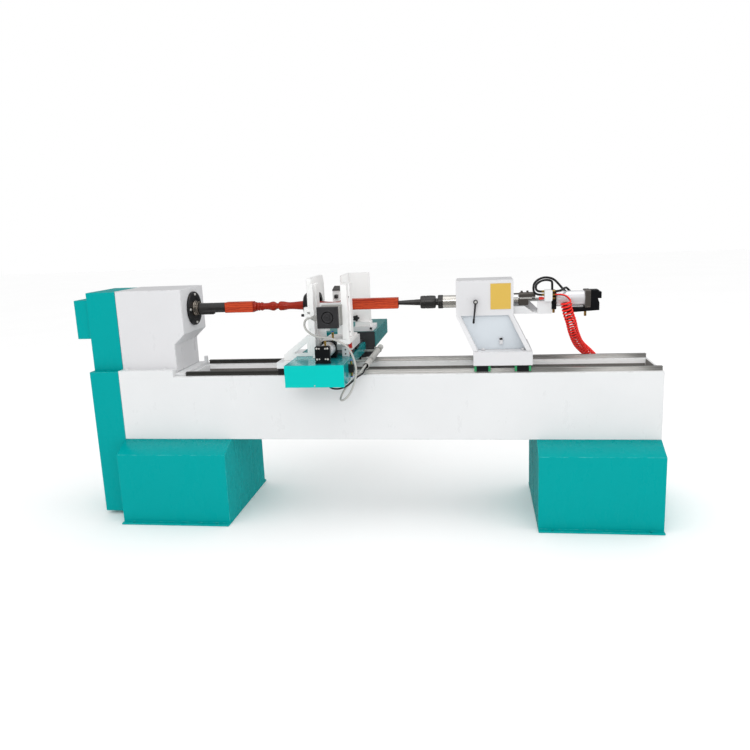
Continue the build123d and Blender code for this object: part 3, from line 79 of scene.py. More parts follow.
Test = Callable[[Vector, Vector], bool]
Row = tuple[float, float, float]
Colour = tuple[float, float, float]
Outline = Sequence[tuple[float, float]]

LOG = logging.getLogger("lathe")
NODES: dict[str, Piece] = frame["nodes"]
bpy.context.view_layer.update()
BED_END = Vector((1.582, -0.477, 0.0))
AXIS_Y = -0.266
AXIS_Z = 1.168
ORIGIN = Vector((0.0, 0.0, 0.0))
X_WAY = Vector((1.0, 0.0, 0.0))
Y_WAY = Vector((0.0, 1.0, 0.0))
Z_WAY = Vector((0.0, 0.0, 1.0))


def mm(x: float, y: float, z: float) -> Vector:
    """A point of the shared frame, given in millimetres."""
    return Vector((x, y, z)) * 0.001


def at(*rows: Row) -> list[Vector]:
    """Points of the shared frame, given in millimetres."""
    return [mm(*row) for row in rows]


def bed(*rows: Row) -> list[Vector]:
    """Points measured in millimetres from the bed's front right corner over the floor."""
    return [BED_END + mm(*row) for row in rows]


def axis(x: float) -> Vector:
    """The point of the turning axis at a station x, in millimetres."""
    return Vector((x * 0.001, AXIS_Y, AXIS_Z))


def by_axis(*rows: Row) -> list[Vector]:
    """Points given by their station and how far they lie from the turning axis in Y and Z."""
    return [axis(x) + mm(0, y, z) for x, y, z in rows]


def facing(way: Vector) -> Test:
    """A test for the faces that look along a direction."""
    return lambda c, n: n.dot(way) > 0.9


def stood(point: Vector, way: Vector) -> Matrix:
    """The move from the origin to a point that turns what pointed up along a direction."""
    return Matrix.Translation(point) @ way.to_track_quat("Z", "Y").to_matrix().to_4x4()


def linked(name: str, data: Any) -> Piece:
    """Makes an object of a mesh, curve, lamp or camera and links it into the scene.

    Args:
        name: The object's name.
        data: What it shows.

    Returns:
        The new object.
    """
    piece = bpy.data.objects.new(name, data)
    bpy.context.scene.collection.objects.link(piece)
    return piece


def linear(colour: Sequence[float]) -> tuple[float, float, float, float]:
    """Turns a display colour of 0 to 255 into the linear colour that a shader takes.

    Args:
        colour: Its red, green and blue.

    Returns:
        The linear colour, fully opaque.
    """
    levels = [c / 255 for c in colour]
    made = [c / 12.92 if c <= 0.04045 else ((c + 0.055) / 1.055) ** 2.4 for c in levels]
    return (made[0], made[1], made[2], 1.0)


@dataclass(frozen=True)
class Patch:
    """One face of a piece, with the solid that it belongs to.

    Attributes:
        centre: The face's middle.
        normal: The way it faces.
        middle: The middle of its solid's box.
        size: The size of its solid's box.
    """

    centre: Vector
    normal: Vector
    middle: Vector
    size: Vector


Spot = tuple[Finish, Callable[[Patch], bool]]


class Bench:
    """Modelling moves made with Blender's own operators, one piece at a time."""

    merge_gap: ClassVar[float] = 2e-6
    flat_angle: ClassVar[float] = math.radians(0.4)
    rounding_share: ClassVar[float] = 0.3

    @staticmethod
    def clear() -> None:
        """Leaves nothing selected."""
        bpy.ops.object.select_all(action="DESELECT")

    @classmethod
    def hold(cls, *pieces: Piece) -> Piece:
        """Selects these pieces only and makes the first one active.

        Args:
            pieces: What to select.

        Returns:
            The active piece.
        """
        cls.clear()
        for piece in pieces:
            piece.select_set(True)
        bpy.context.view_layer.objects.active = pieces[0]
        return pieces[0]

    @classmethod
    @contextmanager
    def editing(cls, piece: Piece, test: Optional[Test] = None) -> Iterator[None]:
        """Opens a piece in edit mode with some of its faces selected.

        Args:
            piece: The mesh to edit.
            test: Picks faces by centre and normal; without it all is selected.
        """
        cls.hold(piece)
        mesh = piece.data
        for parts in (mesh.vertices, mesh.edges):
            parts.foreach_set("select", [False] * len(parts))
        whole = test is None
        chosen = [whole or bool(test(f.center, f.normal)) for f in mesh.polygons]
        mesh.polygons.foreach_set("select", chosen)
        bpy.context.tool_settings.mesh_select_mode = (whole, False, not whole)
        bpy.ops.object.mode_set(mode="EDIT")
        if whole:
            bpy.ops.mesh.select_all(action="SELECT")
        yield
        bpy.ops.object.mode_set(mode="OBJECT")

    @classmethod
    def bevel(cls, piece: Piece, offset: float, segments: int, test: Optional[Test] = None) -> Piece:
        """Rounds the edges round some faces, or all edges.

        Args:
            piece: The mesh to edit.
            offset: The rounding's width in metres.
            segments: How many facets make it.
            test: Picks the faces; without it all edges are rounded.

        Returns:
            The same piece.
        """
        with cls.editing(piece, test):
            bpy.ops.mesh.bevel(offset=offset, segments=segments, affect="EDGES")
        return piece

    @classmethod
    def sink(cls, piece: Piece, margin: float, depth: float, test: Test, each: bool = False) -> Piece:
        """Sinks some faces inside a margin.

        Args:
            piece: The mesh to edit.
            margin: The margin's width in metres.
            depth: How far they sink.
            test: Picks the faces.
            each: Whether every face gets its own margin.

        Returns:
            The same piece.
        """
        with cls.editing(piece, test):
            bpy.ops.mesh.inset(thickness=margin, depth=-depth, use_individual=each)
        return piece

    @classmethod
    def named(cls, name: str) -> Piece:
        """Names the piece just added and puts its place into its mesh.

        Args:
            name: The piece's name.

        Returns:
            The piece, at the origin.
        """
        piece = bpy.context.object
        piece.name = name
        piece.data.name = name
        bpy.ops.object.transform_apply(location=True, rotation=True, scale=True)
        return piece

    @classmethod
    def block(cls, name: str, low: Vector, high: Vector) -> Piece:
        """Adds a block between two corners.

        Args:
            name: The piece's name.
            low: Its lowest corner.
            high: Its highest corner.

        Returns:
            The new piece.
        """
        cls.clear()
        bpy.ops.mesh.primitive_cube_add(size=1.0, location=(low + high) / 2)
        bpy.context.object.scale = high - low
        return cls.named(name)

    @classmethod
    def bar(cls, name: str, radius: float, start: Vector, end: Vector, sides: int = 32) -> Piece:
        """Adds a round or many-sided bar between two points.

        Args:
            name: The piece's name.
            radius: The radius over its corners.
            start: The middle of its first end.
            end: The middle of its other end.
            sides: How many sides it has.

        Returns:
            The new piece.
        """
        cls.clear()
        way = end - start
        turn = way.to_track_quat("Z", "Y").to_euler()
        bpy.ops.mesh.primitive_cylinder_add(
            vertices=sides, radius=radius, depth=way.length, location=(start + end) / 2, rotation=turn
        )
        return cls.named(name)

    @classmethod
    def turned(
        cls, name: str, outline: Outline, start: Vector, way: Vector, steps: int = 56, ring: bool = False
    ) -> Piece:
        """Extrudes an outline point by point and spins it round its axis.

        Args:
            name: The piece's name.
            outline: Pairs of distance along the axis and radius, in millimetres.
            start: Where the axis begins.
            way: The axis' direction.
            steps: How many steps make a full turn.
            ring: Whether the outline closes on itself, as round a bore.

        Returns:
            The new piece.
        """
        cls.clear()
        points = [mm(r, 0.0, a) for a, r in outline]
        if ring:
            points.append(points[0])
        bpy.ops.mesh.primitive_plane_add(size=0.001, location=points[0])
        piece = cls.named(name)
        with cls.editing(piece):
            bpy.ops.mesh.merge(type="CENTER")
            for here, there in zip(points, points[1:]):
                bpy.ops.mesh.extrude_vertices_move(TRANSFORM_OT_translate={"value": there - here})
            bpy.ops.mesh.select_all(action="SELECT")
            bpy.ops.mesh.spin(steps=steps, angle=2 * math.pi, center=ORIGIN, axis=Z_WAY)
            bpy.ops.mesh.select_all(action="SELECT")
            bpy.ops.mesh.remove_doubles(threshold=1e-6)
            bpy.ops.mesh.normals_make_consistent(inside=False)
        piece.data.transform(stood(start, way))
        return piece

    @classmethod
    def from_node(cls, node: str, split: bool = False) -> Piece:
        """Copies a construction node's mesh, merged and freed of needless edges.

        Args:
            node: The node's name.
            split: Whether faces round an opening are cut into convex ones.

        Returns:
            The copy, at the origin as the node is.
        """
        piece = linked(f"{node}_skin", NODES[node].data.copy())
        piece.data.materials.clear()
        with cls.editing(piece):
            bpy.ops.mesh.customdata_custom_splitnormals_clear()
            bpy.ops.mesh.remove_doubles(threshold=cls.merge_gap)
            bpy.ops.mesh.dissolve_limited(angle_limit=cls.flat_angle)
            if split:
                bpy.ops.mesh.vert_connect_concave()
        return piece

    @classmethod
    def finish_by(cls, piece: Piece, kind: str, **settings: Any) -> Piece:
        """Adds a modifier with its settings and applies it.

        Args:
            piece: The piece to change.
            kind: The modifier's type.
            settings: Its values by name.

        Returns:
            The same piece.
        """
        step = piece.modifiers.new(kind.lower(), kind)
        for key, value in settings.items():
            setattr(step, key, value)
        cls.hold(piece)
        bpy.ops.object.modifier_apply(modifier=step.name)
        return piece

    @classmethod
    def carve(cls, piece: Piece, operation: str, tool: Piece) -> Piece:
        """Cuts a piece by another one, which is dropped.

        Args:
            piece: The piece to cut.
            operation: The Boolean's kind.
            tool: The piece to cut it by.

        Returns:
            The cut piece.
        """
        cls.finish_by(piece, "BOOLEAN", operation=operation, object=tool, solver="EXACT")
        cls.drop(tool)
        return piece

    @classmethod
    def weigh_edges(cls, piece: Piece, width: float, sharp: float) -> None:
        """Marks how far each sharp edge can be rounded without eating its neighbours.

        Args:
            piece: The mesh to mark.
            width: The full width of the rounding.
            sharp: The least angle of an edge that is rounded, in degrees.
        """
        mesh = piece.data
        sides: dict[tuple[int, int], list[Vector]] = {}
        for face in mesh.polygons:
            for key in face.edge_keys:
                sides.setdefault(key, []).append(face.normal)
        room = [math.inf] * len(mesh.vertices)
        for edge in mesh.edges:
            a, b = edge.vertices
            length = (mesh.vertices[a].co - mesh.vertices[b].co).length
            room[a] = min(room[a], length)
            room[b] = min(room[b], length)
        weights = mesh.attributes.new("bevel_weight_edge", "FLOAT", "EDGE")
        for edge in mesh.edges:
            normals = sides.get(edge.key, [])
            if len(normals) == 2 and normals[0].angle(normals[1], 0.0) > math.radians(sharp):
                least = min(room[v] for v in edge.vertices)
                weights.data[edge.index].value = min(1.0, cls.rounding_share * least / width)

    @classmethod
    def soften(cls, piece: Piece, width: float, segments: int = 2, sharp: float = 30.0) -> Piece:
        """Rounds the sharp edges, notes the rounded faces for wear and smooths the shading.

        Args:
            piece: The piece to soften.
            width: The rounding's width in metres.
            segments: How many facets make it.
            sharp: The least angle of an edge that is rounded, in degrees.

        Returns:
            The same piece.
        """
        cls.weigh_edges(piece, width, sharp)
        mesh = piece.data
        mesh.materials.clear()
        for _ in range(2):
            mesh.materials.append(None)
        mesh.polygons.foreach_set("material_index", [0] * len(mesh.polygons))
        settings = {"limit_method": "WEIGHT", "use_clamp_overlap": False, "material": 1}
        cls.finish_by(piece, "BEVEL", width=width, segments=segments, **settings)
        mesh = piece.data
        rounded = [float(f.material_index == 1) for f in mesh.polygons]
        mesh.attributes.new("edge", "FLOAT", "FACE").data.foreach_set("value", rounded)
        mesh.polygons.foreach_set("material_index", [0] * len(mesh.polygons))
        mesh.materials.clear()
        return cls.smooth(piece)

    @classmethod
    def smooth(cls, piece: Piece, angle: float = 38.0) -> Piece:
        """Smooths the shading below an angle and keeps broad faces flat.

        Args:
            piece: The piece to smooth.
            angle: The angle in degrees.

        Returns:
            The same piece.
        """
        cls.hold(piece)
        bpy.ops.object.shade_smooth_by_angle(angle=math.radians(angle))
        return cls.finish_by(piece, "WEIGHTED_NORMAL", weight=90, keep_sharp=True)

    @classmethod
    def copies(cls, pattern: Piece, name: str, moves: Sequence[Matrix]) -> Piece:
        """Sets copies of a small piece, each with its own mesh, and joins them.

        Args:
            pattern: The piece, made at the origin.
            name: The joined piece's name.
            moves: The move that brings each copy to its place.

        Returns:
            The joined piece.
        """
        made = [linked(name, pattern.data.copy()) for _ in moves]
        for piece, move in zip(made, moves):
            piece.data.transform(move)
        return cls.together(name, *made)

    @classmethod
    def row(cls, pattern: Piece, name: str, points: Sequence[Vector], way: Vector) -> Piece:
        """Sets copies of a piece that points up at points, all along one direction, and drops the pattern.

        Args:
            pattern: The piece, made at the origin.
            name: The joined piece's name.
            points: Where the copies stand.
            way: The direction they point in.

        Returns:
            The joined piece.
        """
        made = cls.copies(pattern, name, [stood(point, way) for point in points])
        cls.drop(pattern)
        return made

    @classmethod
    def together(cls, name: str, *pieces: Piece) -> Piece:
        """Joins pieces into one.

        Args:
            name: The joined piece's name.
            pieces: What to join.

        Returns:
            The joined piece.
        """
        whole = cls.hold(*pieces)
        bpy.ops.object.join()
        whole.name = name
        whole.data.name = name
        return whole

    @staticmethod
    def drop(piece: Piece) -> None:
        """Removes a pattern that is no longer needed."""
        bpy.data.objects.remove(piece)

    @staticmethod
    def solids(mesh: bpy.types.Mesh) -> list[tuple[Vector, Vector]]:
        """Finds the box of the separate solid that each vertex belongs to.

        Args:
            mesh: The mesh to look through.

        Returns:
            For each vertex, the middle and the size of its solid's box.
        """
        lead = list(range(len(mesh.vertices)))

        def head(v: int) -> int:
            """Finds the vertex that stands for a whole solid.

            Args:
                v: A vertex of the solid.

            Returns:
                The vertex that stands for it.
            """
            while lead[v] != v:
                lead[v] = lead[lead[v]]
                v = lead[v]
            return v

        for edge in mesh.edges:
            lead[head(edge.vertices[0])] = head(edge.vertices[1])
        heads = [head(v) for v in range(len(lead))]
        groups: dict[int, list[Vector]] = {}
        for vertex, key in zip(mesh.vertices, heads):
            groups.setdefault(key, []).append(vertex.co)
        boxes = {}
        for key, points in groups.items():
            low = Vector([min(q[k] for q in points) for k in range(3)])
            high = Vector([max(q[k] for q in points) for k in range(3)])
            boxes[key] = ((low + high) / 2, high - low)
        return [boxes[key] for key in heads]

    @classmethod
    def coat(cls, piece: Piece, base: Finish, *spots: Spot) -> Piece:
        """Gives a piece its finish, and other finishes to the faces that pass a test.

        Args:
            piece: The piece to finish.
            base: The finish of its faces in general.
            spots: Pairs of finish and test; the last one that holds counts.

        Returns:
            The same piece.
        """
        mesh = piece.data
        mesh.materials.clear()
        for finish in (base, *[finish for finish, _ in spots]):
            mesh.materials.append(finish)
        if spots:
            boxes = cls.solids(mesh)
            for face in mesh.polygons:
                patch = Patch(face.center, face.normal, *boxes[face.vertices[0]])
                held = [k + 1 for k, (_, test) in enumerate(spots) if test(patch)]
                face.material_index = max(held, default=0)
        return piece


class Wiring:
    """Adds and joins the nodes of one tree."""

    def __init__(self, tree: bpy.types.NodeTree) -> None:
        """Takes the tree to work in."""
        self.tree = tree

    def plug(self, socket: Socket, value: Any) -> None:
        """Links a socket to another, or sets its value.

        Args:
            socket: The socket to feed.
            value: An output, or a plain value.
        """
        if isinstance(value, Socket):
            self.tree.links.new(value, socket)
        else:
            socket.default_value = value

    def feed(self, node: bpy.types.Node, feeds: dict[Any, Any]) -> Any:
        """Feeds some of a node's sockets.

        Args:
            node: The node to feed.
            feeds: Values or outputs by the socket's name or number.

        Returns:
            The node's outputs.
        """
        for key, value in feeds.items():
            self.plug(node.inputs[key], value)
        return node.outputs

    def node(self, kind: str, **props: Any) -> bpy.types.Node:
        """Adds a node.

        Args:
            kind: The node's type after ShaderNode.
            props: Its own settings by name.

        Returns:
            The node.
        """
        made = self.tree.nodes.new("ShaderNode" + kind)
        for key, value in props.items():
            setattr(made, key, value)
        return made

    def effect(self, group: bpy.types.NodeTree, **sockets: Any) -> Any:
        """Places a shared effect and gives its outputs."""
        return self.feed(self.node("Group", node_tree=group), sockets)

    def sum(self, way: str, first: Any, second: Any) -> Socket:
        """One step of arithmetic on two values."""
        return self.feed(self.node("Math", operation=way), {0: first, 1: second})[0]

    def plus(self, first: Any, second: Any) -> Socket:
        """Two values added up."""
        return self.sum("ADD", first, second)

    def minus(self, first: Any, second: Any) -> Socket:
        """One value less another."""
        return self.sum("SUBTRACT", first, second)

    def times(self, first: Any, second: Any) -> Socket:
        """Two values multiplied."""
        return self.sum("MULTIPLY", first, second)

    def scaled(self, colour: Any, share: Any) -> Socket:
        """A colour made darker or brighter by a share."""
        return self.feed(self.node("VectorMath", operation="SCALE"), {"Vector": colour, "Scale": share})[0]

    def ramp(self, value: Any, low: float, high: float) -> Socket:
        """A soft step from 0 at low to 1 at high."""
        feeds = {"Value": value, "From Min": low, "From Max": high}
        return self.feed(self.node("MapRange", interpolation_type="SMOOTHSTEP"), feeds)["Result"]

    def blend(self, first: Any, second: Any, share: Any) -> Socket:
        """Mixes two colours by a share."""
        return self.feed(self.node("Mix", data_type="RGBA"), {0: share, 6: first, 7: second})[2]

    def noise(self, place: Any, scale: float, detail: float = 3.0, rough: float = 0.55) -> Socket:
        """Noise at a place, from about 0.3 to 0.7."""
        feeds = {"Vector": place, "Scale": scale, "Detail": detail, "Roughness": rough}
        return self.feed(self.node("TexNoise"), feeds)["Fac"]

    def place(self, *stretch: Any) -> Socket:
        """The surface's own place on the piece, stretched if asked."""
        here = self.node("TexCoord").outputs["Object"]
        return self.stretched(here, stretch) if stretch else here

    def stretched(self, place: Socket, scale: Any) -> Socket:
        """A place stretched along X, Y and Z."""
        return self.feed(self.node("Mapping"), {"Vector": place, "Scale": scale})["Vector"]

    def part(self, vector: Socket, which: str) -> Socket:
        """The X, Y or Z of a vector."""
        return self.feed(self.node("SeparateXYZ"), {"Vector": vector})[which]

    def facing_up(self) -> Socket:
        """How far the surface faces up."""
        return self.part(self.node("NewGeometry").outputs["Normal"], "Z")

    def noted(self, name: str) -> Socket:
        """A number that the piece's own mesh notes on its faces."""
        return self.node("Attribute", attribute_name=name, attribute_type="GEOMETRY").outputs["Fac"]

    def bump(self, height: Any, strength: float, distance: float) -> Socket:
        """The normal of a surface with a fine relief."""
        feeds = {"Height": height, "Strength": strength, "Distance": distance}
        return self.feed(self.node("Bump"), feeds)["Normal"]


class Effects:
    """Surface effects that several finishes share, each a node group that is built once."""

    kinds: ClassVar[dict[str, str]] = {
        "Colour": "Color", "Under": "Color", "Dust": "Color", "Stretch": "Vector"
    }

    @classmethod
    def group(cls, name: str, takes: Sequence[str], gives: Sequence[str]) -> tuple[Wiring, Any, Any]:
        """Starts a node group with named sockets.

        Args:
            name: The group's name.
            takes: The names of its inputs.
            gives: The names of its outputs.

        Returns:
            The wiring, the inputs' sockets and the outputs' sockets.
        """
        tree = bpy.data.node_groups.new(name, "ShaderNodeTree")
        for way, names in (("INPUT", takes), ("OUTPUT", gives)):
            for key in names:
                kind = "NodeSocket" + cls.kinds.get(key, "Float")
                tree.interface.new_socket(name=key, in_out=way, socket_type=kind)
        start = tree.nodes.new("NodeGroupInput")
        end = tree.nodes.new("NodeGroupOutput")
        return Wiring(tree), start.outputs, end.inputs

    @classmethod
    @cache
    def paint_film(cls) -> bpy.types.NodeTree:
        """Sprayed paint: a tone that drifts, handling smears and orange peel.

        Returns:
            The group.
        """
        takes = ("Colour", "Drift", "Roughness", "Smear")
        w, i, o = cls.group("paint_film", takes, ("Colour", "Roughness", "Height"))
        here = w.place()
        broad = w.minus(w.noise(here, 2.3, 5.0, 0.6), 0.5)
        tone = w.plus(1.0, w.times(w.times(broad, 2.0), i["Drift"]))
        w.plug(o["Colour"], w.scaled(i["Colour"], tone))
        smear = w.minus(w.noise(w.place(5.0, 5.0, 2.0), 2.2, 8.0, 0.7), 0.5)
        w.plug(o["Roughness"], w.plus(i["Roughness"], w.times(smear, i["Smear"])))
        w.plug(o["Height"], w.noise(here, 260.0, 2.0))
        return w.tree

    @classmethod
    @cache
    def edge_wear(cls) -> bpy.types.NodeTree:
        """Rubbed edges: what lies under the paint shows in broken runs along the rounded edges.

        Returns:
            The group.
        """
        w, i, o = cls.group("edge_wear", ("Colour", "Under", "Amount"), ("Colour", "Mask"))
        broken = w.ramp(w.noise(w.place(), 34.0, 6.0, 0.65), 0.4, 0.76)
        mask = w.times(w.times(w.noted("edge"), broken), i["Amount"])
        w.plug(o["Colour"], w.blend(i["Colour"], i["Under"], mask))
        w.plug(o["Mask"], mask)
        return w.tree

    @classmethod
    @cache
    def wood_dust(cls) -> bpy.types.NodeTree:
        """Fine wood dust that settles on what faces up.

        Returns:
            The group.
        """
        w, i, o = cls.group("wood_dust", ("Colour", "Dust", "Amount"), ("Colour", "Mask"))
        patchy = w.ramp(w.noise(w.place(), 13.0, 7.0, 0.7), 0.36, 0.72)
        mask = w.times(w.times(w.ramp(w.facing_up(), 0.55, 0.95), patchy), i["Amount"])
        w.plug(o["Colour"], w.blend(i["Colour"], i["Dust"], mask))
        w.plug(o["Mask"], mask)
        return w.tree

    @classmethod
    @cache
    def tool_marks(cls) -> bpy.types.NodeTree:
        """The fine streaks that grinding, turning or drawing leaves on metal.

        Returns:
            The group.
        """
        takes = ("Colour", "Stretch", "Depth", "Stain", "Roughness")
        w, i, o = cls.group("tool_marks", takes, ("Colour", "Roughness", "Height"))
        streak = w.noise(w.stretched(w.place(), i["Stretch"]), 1.0, 3.0, 0.6)
        stain = w.times(w.minus(w.noise(w.place(), 9.0, 6.0, 0.65), 0.5), i["Stain"])
        off = w.times(w.minus(streak, 0.5), i["Depth"])
        tone = w.plus(1.0, w.plus(off, stain))
        w.plug(o["Colour"], w.scaled(i["Colour"], tone))
        w.plug(o["Roughness"], w.plus(i["Roughness"], w.plus(w.times(off, 0.5), stain)))
        w.plug(o["Height"], streak)
        return w.tree


class Grain(Enum):
    """The way the tool's marks run over a metal, as a stretch of the noise that draws them."""

    ALONG_X = (7.0, 620.0, 620.0)
    ALONG_Y = (620.0, 7.0, 620.0)
    ALONG_Z = (620.0, 620.0, 7.0)
    ROUND_X = (950.0, 22.0, 22.0)
    CAST = (190.0, 190.0, 190.0)


class Recipe(Protocol):
    """A finish that can be mixed into a material."""

    def mixed(self) -> Finish:
        """Builds the material."""


def blank_material(name: str) -> tuple[Finish, Wiring, bpy.types.Node]:
    """Starts a material.

    Args:
        name: The finish's name.

    Returns:
        The material, its wiring and its surface shader.
    """
    material = bpy.data.materials.new(name)
    material.use_nodes = True
    wiring = Wiring(material.node_tree)
    return material, wiring, material.node_tree.nodes["Principled BSDF"]


def mix(recipe: Recipe) -> Any:
    """A field of the shelf that mixes a finish when the shelf is made."""
    return field(default_factory=recipe.mixed)


@dataclass(frozen=True)
class Paint:
    """Sprayed machine enamel over primed steel.

    Attributes:
        name: The finish's name.
        colour: Its display colour.
        roughness: Its gloss, lower is glossier.
        drift: How far its tone drifts.
        wear: How much of the edges is rubbed.
        under: What shows where it is rubbed.
        dust: How much dust lies on it.
        shine: The strength of its reflections.
        dusty: The dust's colour.
    """

    name: str
    colour: Colour
    roughness: float = 0.36
    drift: float = 0.05
    wear: float = 0.5
    under: Colour = (176, 178, 176)
    dust: float = 0.12
    shine: float = 0.3
    dusty: Colour = (196, 178, 158)

    def mixed(self) -> Finish:
        """Builds the paint's material.

        Returns:
            The material.
        """
        material, w, shader = blank_material(self.name)
        colour, rough = linear(self.colour), self.roughness
        film = w.effect(Effects.paint_film(), Colour=colour, Drift=self.drift, Roughness=rough, Smear=0.22)
        under, dust = linear(self.under), linear(self.dusty)
        worn = w.effect(Effects.edge_wear(), Colour=film["Colour"], Under=under, Amount=self.wear)
        laid = w.effect(Effects.wood_dust(), Colour=worn["Colour"], Dust=dust, Amount=self.dust)
        dull = w.plus(film["Roughness"], w.times(laid["Mask"], 0.5))
        normal = w.bump(film["Height"], 0.05, 0.001)
        w.feed(shader, {"Base Color": laid["Colour"], "Roughness": dull, "Normal": normal})
        w.feed(shader, {"Specular IOR Level": self.shine})
        return material


@dataclass(frozen=True)
class Metal:
    """Bare, plated or blackened metal with its tool marks.

    Attributes:
        name: The finish's name.
        colour: Its display colour.
        grain: The way its tool marks run.
        roughness: Its gloss, lower is glossier.
        depth: How strong the marks are.
        wear: How much brighter its edges are rubbed.
        metallic: 1 for bare metal, less for a blackened skin.
        stain: How far its tone is stained.
    """

    name: str
    colour: Colour
    grain: Grain = Grain.ALONG_X
    roughness: float = 0.3
    depth: float = 0.5
    wear: float = 0.3
    metallic: float = 1.0
    stain: float = 0.24

    def marked(self, w: Wiring) -> Any:
        """Lays the tool marks.

        Args:
            w: The material's wiring.

        Returns:
            The outputs of the marks.
        """
        sockets = {"Colour": linear(self.colour), "Stretch": self.grain.value, "Depth": self.depth}
        return w.effect(Effects.tool_marks(), Stain=self.stain, Roughness=self.roughness, **sockets)

    def mixed(self) -> Finish:
        """Builds the metal's material.

        Returns:
            The material.
        """
        material, w, shader = blank_material(self.name)
        marks = self.marked(w)
        under = linear([min(255.0, c + 70) for c in self.colour])
        worn = w.effect(Effects.edge_wear(), Colour=marks["Colour"], Under=under, Amount=self.wear)
        normal = w.bump(marks["Height"], 0.08, 0.0005)
        w.feed(shader, {"Base Color": worn["Colour"], "Roughness": marks["Roughness"], "Normal": normal})
        w.feed(shader, {"Metallic": self.metallic})
        return material


@dataclass(frozen=True)
class RailOilAndPaintedReflection(Metal):
    """Ground guide-rail steel darkened by an oil film and a painted reflection: strongly by the spindle, less
    further on.

    Attributes:
        oil_and_reflection_tone: The dark colour of the oil film and the painted reflection.
        dark_until: The station up to which the darkening is strong.
        pale_from: The station from which it is weak.
        smear: Where a second, weaker band of oil film and painted reflection starts, is full, fades and ends.
        end: Where the rail's end darkens.
    """

    oil_and_reflection_tone: Colour = (58, 58, 54)
    dark_until: float = -0.4
    pale_from: float = -0.02
    smear: tuple[float, float, float, float] = (0.72, 0.95, 1.05, 1.3)
    end: tuple[float, float] = (1.42, 1.56)

    def mixed(self) -> Finish:
        """Builds the rail's material.

        Returns:
            The material.
        """
        material, w, shader = blank_material(self.name)
        marks = self.marked(w)
        along = w.part(w.place(), "X")
        uneven = w.times(w.minus(w.noise(w.place(3.0, 30.0, 30.0), 1.0, 5.0), 0.5), 0.35)
        there = w.plus(along, uneven)
        # Painted reflection with an oil film: darker by the spindle, in a band further on, at the rail's end
        # and on faces that look up.
        thick = w.minus(1.0, w.ramp(there, self.dark_until, self.pale_from))
        smear = w.minus(w.ramp(there, *self.smear[:2]), w.ramp(there, *self.smear[2:]))
        oil_and_reflection_bands = w.times(w.plus(smear, w.ramp(along, *self.end)), 0.65)
        painted_top_reflection = w.times(w.ramp(w.facing_up(), 0.6, 0.9), 0.75)
        film = w.sum("MAXIMUM", w.sum("MAXIMUM", thick, oil_and_reflection_bands), painted_top_reflection)
        tone = w.blend(marks["Colour"], linear(self.oil_and_reflection_tone), film)
        normal = w.bump(marks["Height"], 0.08, 0.0005)
        w.feed(shader, {"Base Color": tone, "Roughness": marks["Roughness"], "Normal": normal})
        w.feed(shader, {"Metallic": self.metallic})
        return material


@dataclass(frozen=True)
class Moulding:
    """Moulded plastic or rubber with a fine skin.

    Attributes:
        name: The finish's name.
        colour: Its display colour.
        roughness: Its gloss, lower is glossier.
        skin: The scale of its fine grain.
        relief: How strong the grain is.
        dust: How much dust lies on it.
        painted_coil_shade: The painted shade colour that the "painted_coil_shade" attribute brings in, where
            a piece has one.
        dusty: The dust's colour.
    """

    name: str
    colour: Colour
    roughness: float = 0.45
    skin: float = 900.0
    relief: float = 0.12
    dust: float = 0.1
    painted_coil_shade: Optional[Colour] = None
    dusty: Colour = (180, 165, 148)

    def mixed(self) -> Finish:
        """Builds the moulding's material.

        Returns:
            The material.
        """
        material, w, shader = blank_material(self.name)
        colour, rough = linear(self.colour), self.roughness
        film = w.effect(Effects.paint_film(), Colour=colour, Drift=0.12, Roughness=rough, Smear=0.25)
        dust = linear(self.dusty)
        tone = w.effect(Effects.wood_dust(), Colour=film["Colour"], Dust=dust, Amount=self.dust)["Colour"]
        # Painted shade: the faces that the attribute marks take the darker colour.
        if self.painted_coil_shade is not None:
            tone = w.blend(tone, linear(self.painted_coil_shade), w.ramp(w.noted("painted_coil_shade"), 0.4, 0.84))
        normal = w.bump(w.noise(w.place(), self.skin, 3.0), self.relief, 0.0004)
        w.feed(shader, {"Base Color": tone, "Roughness": film["Roughness"], "Normal": normal})
        return material


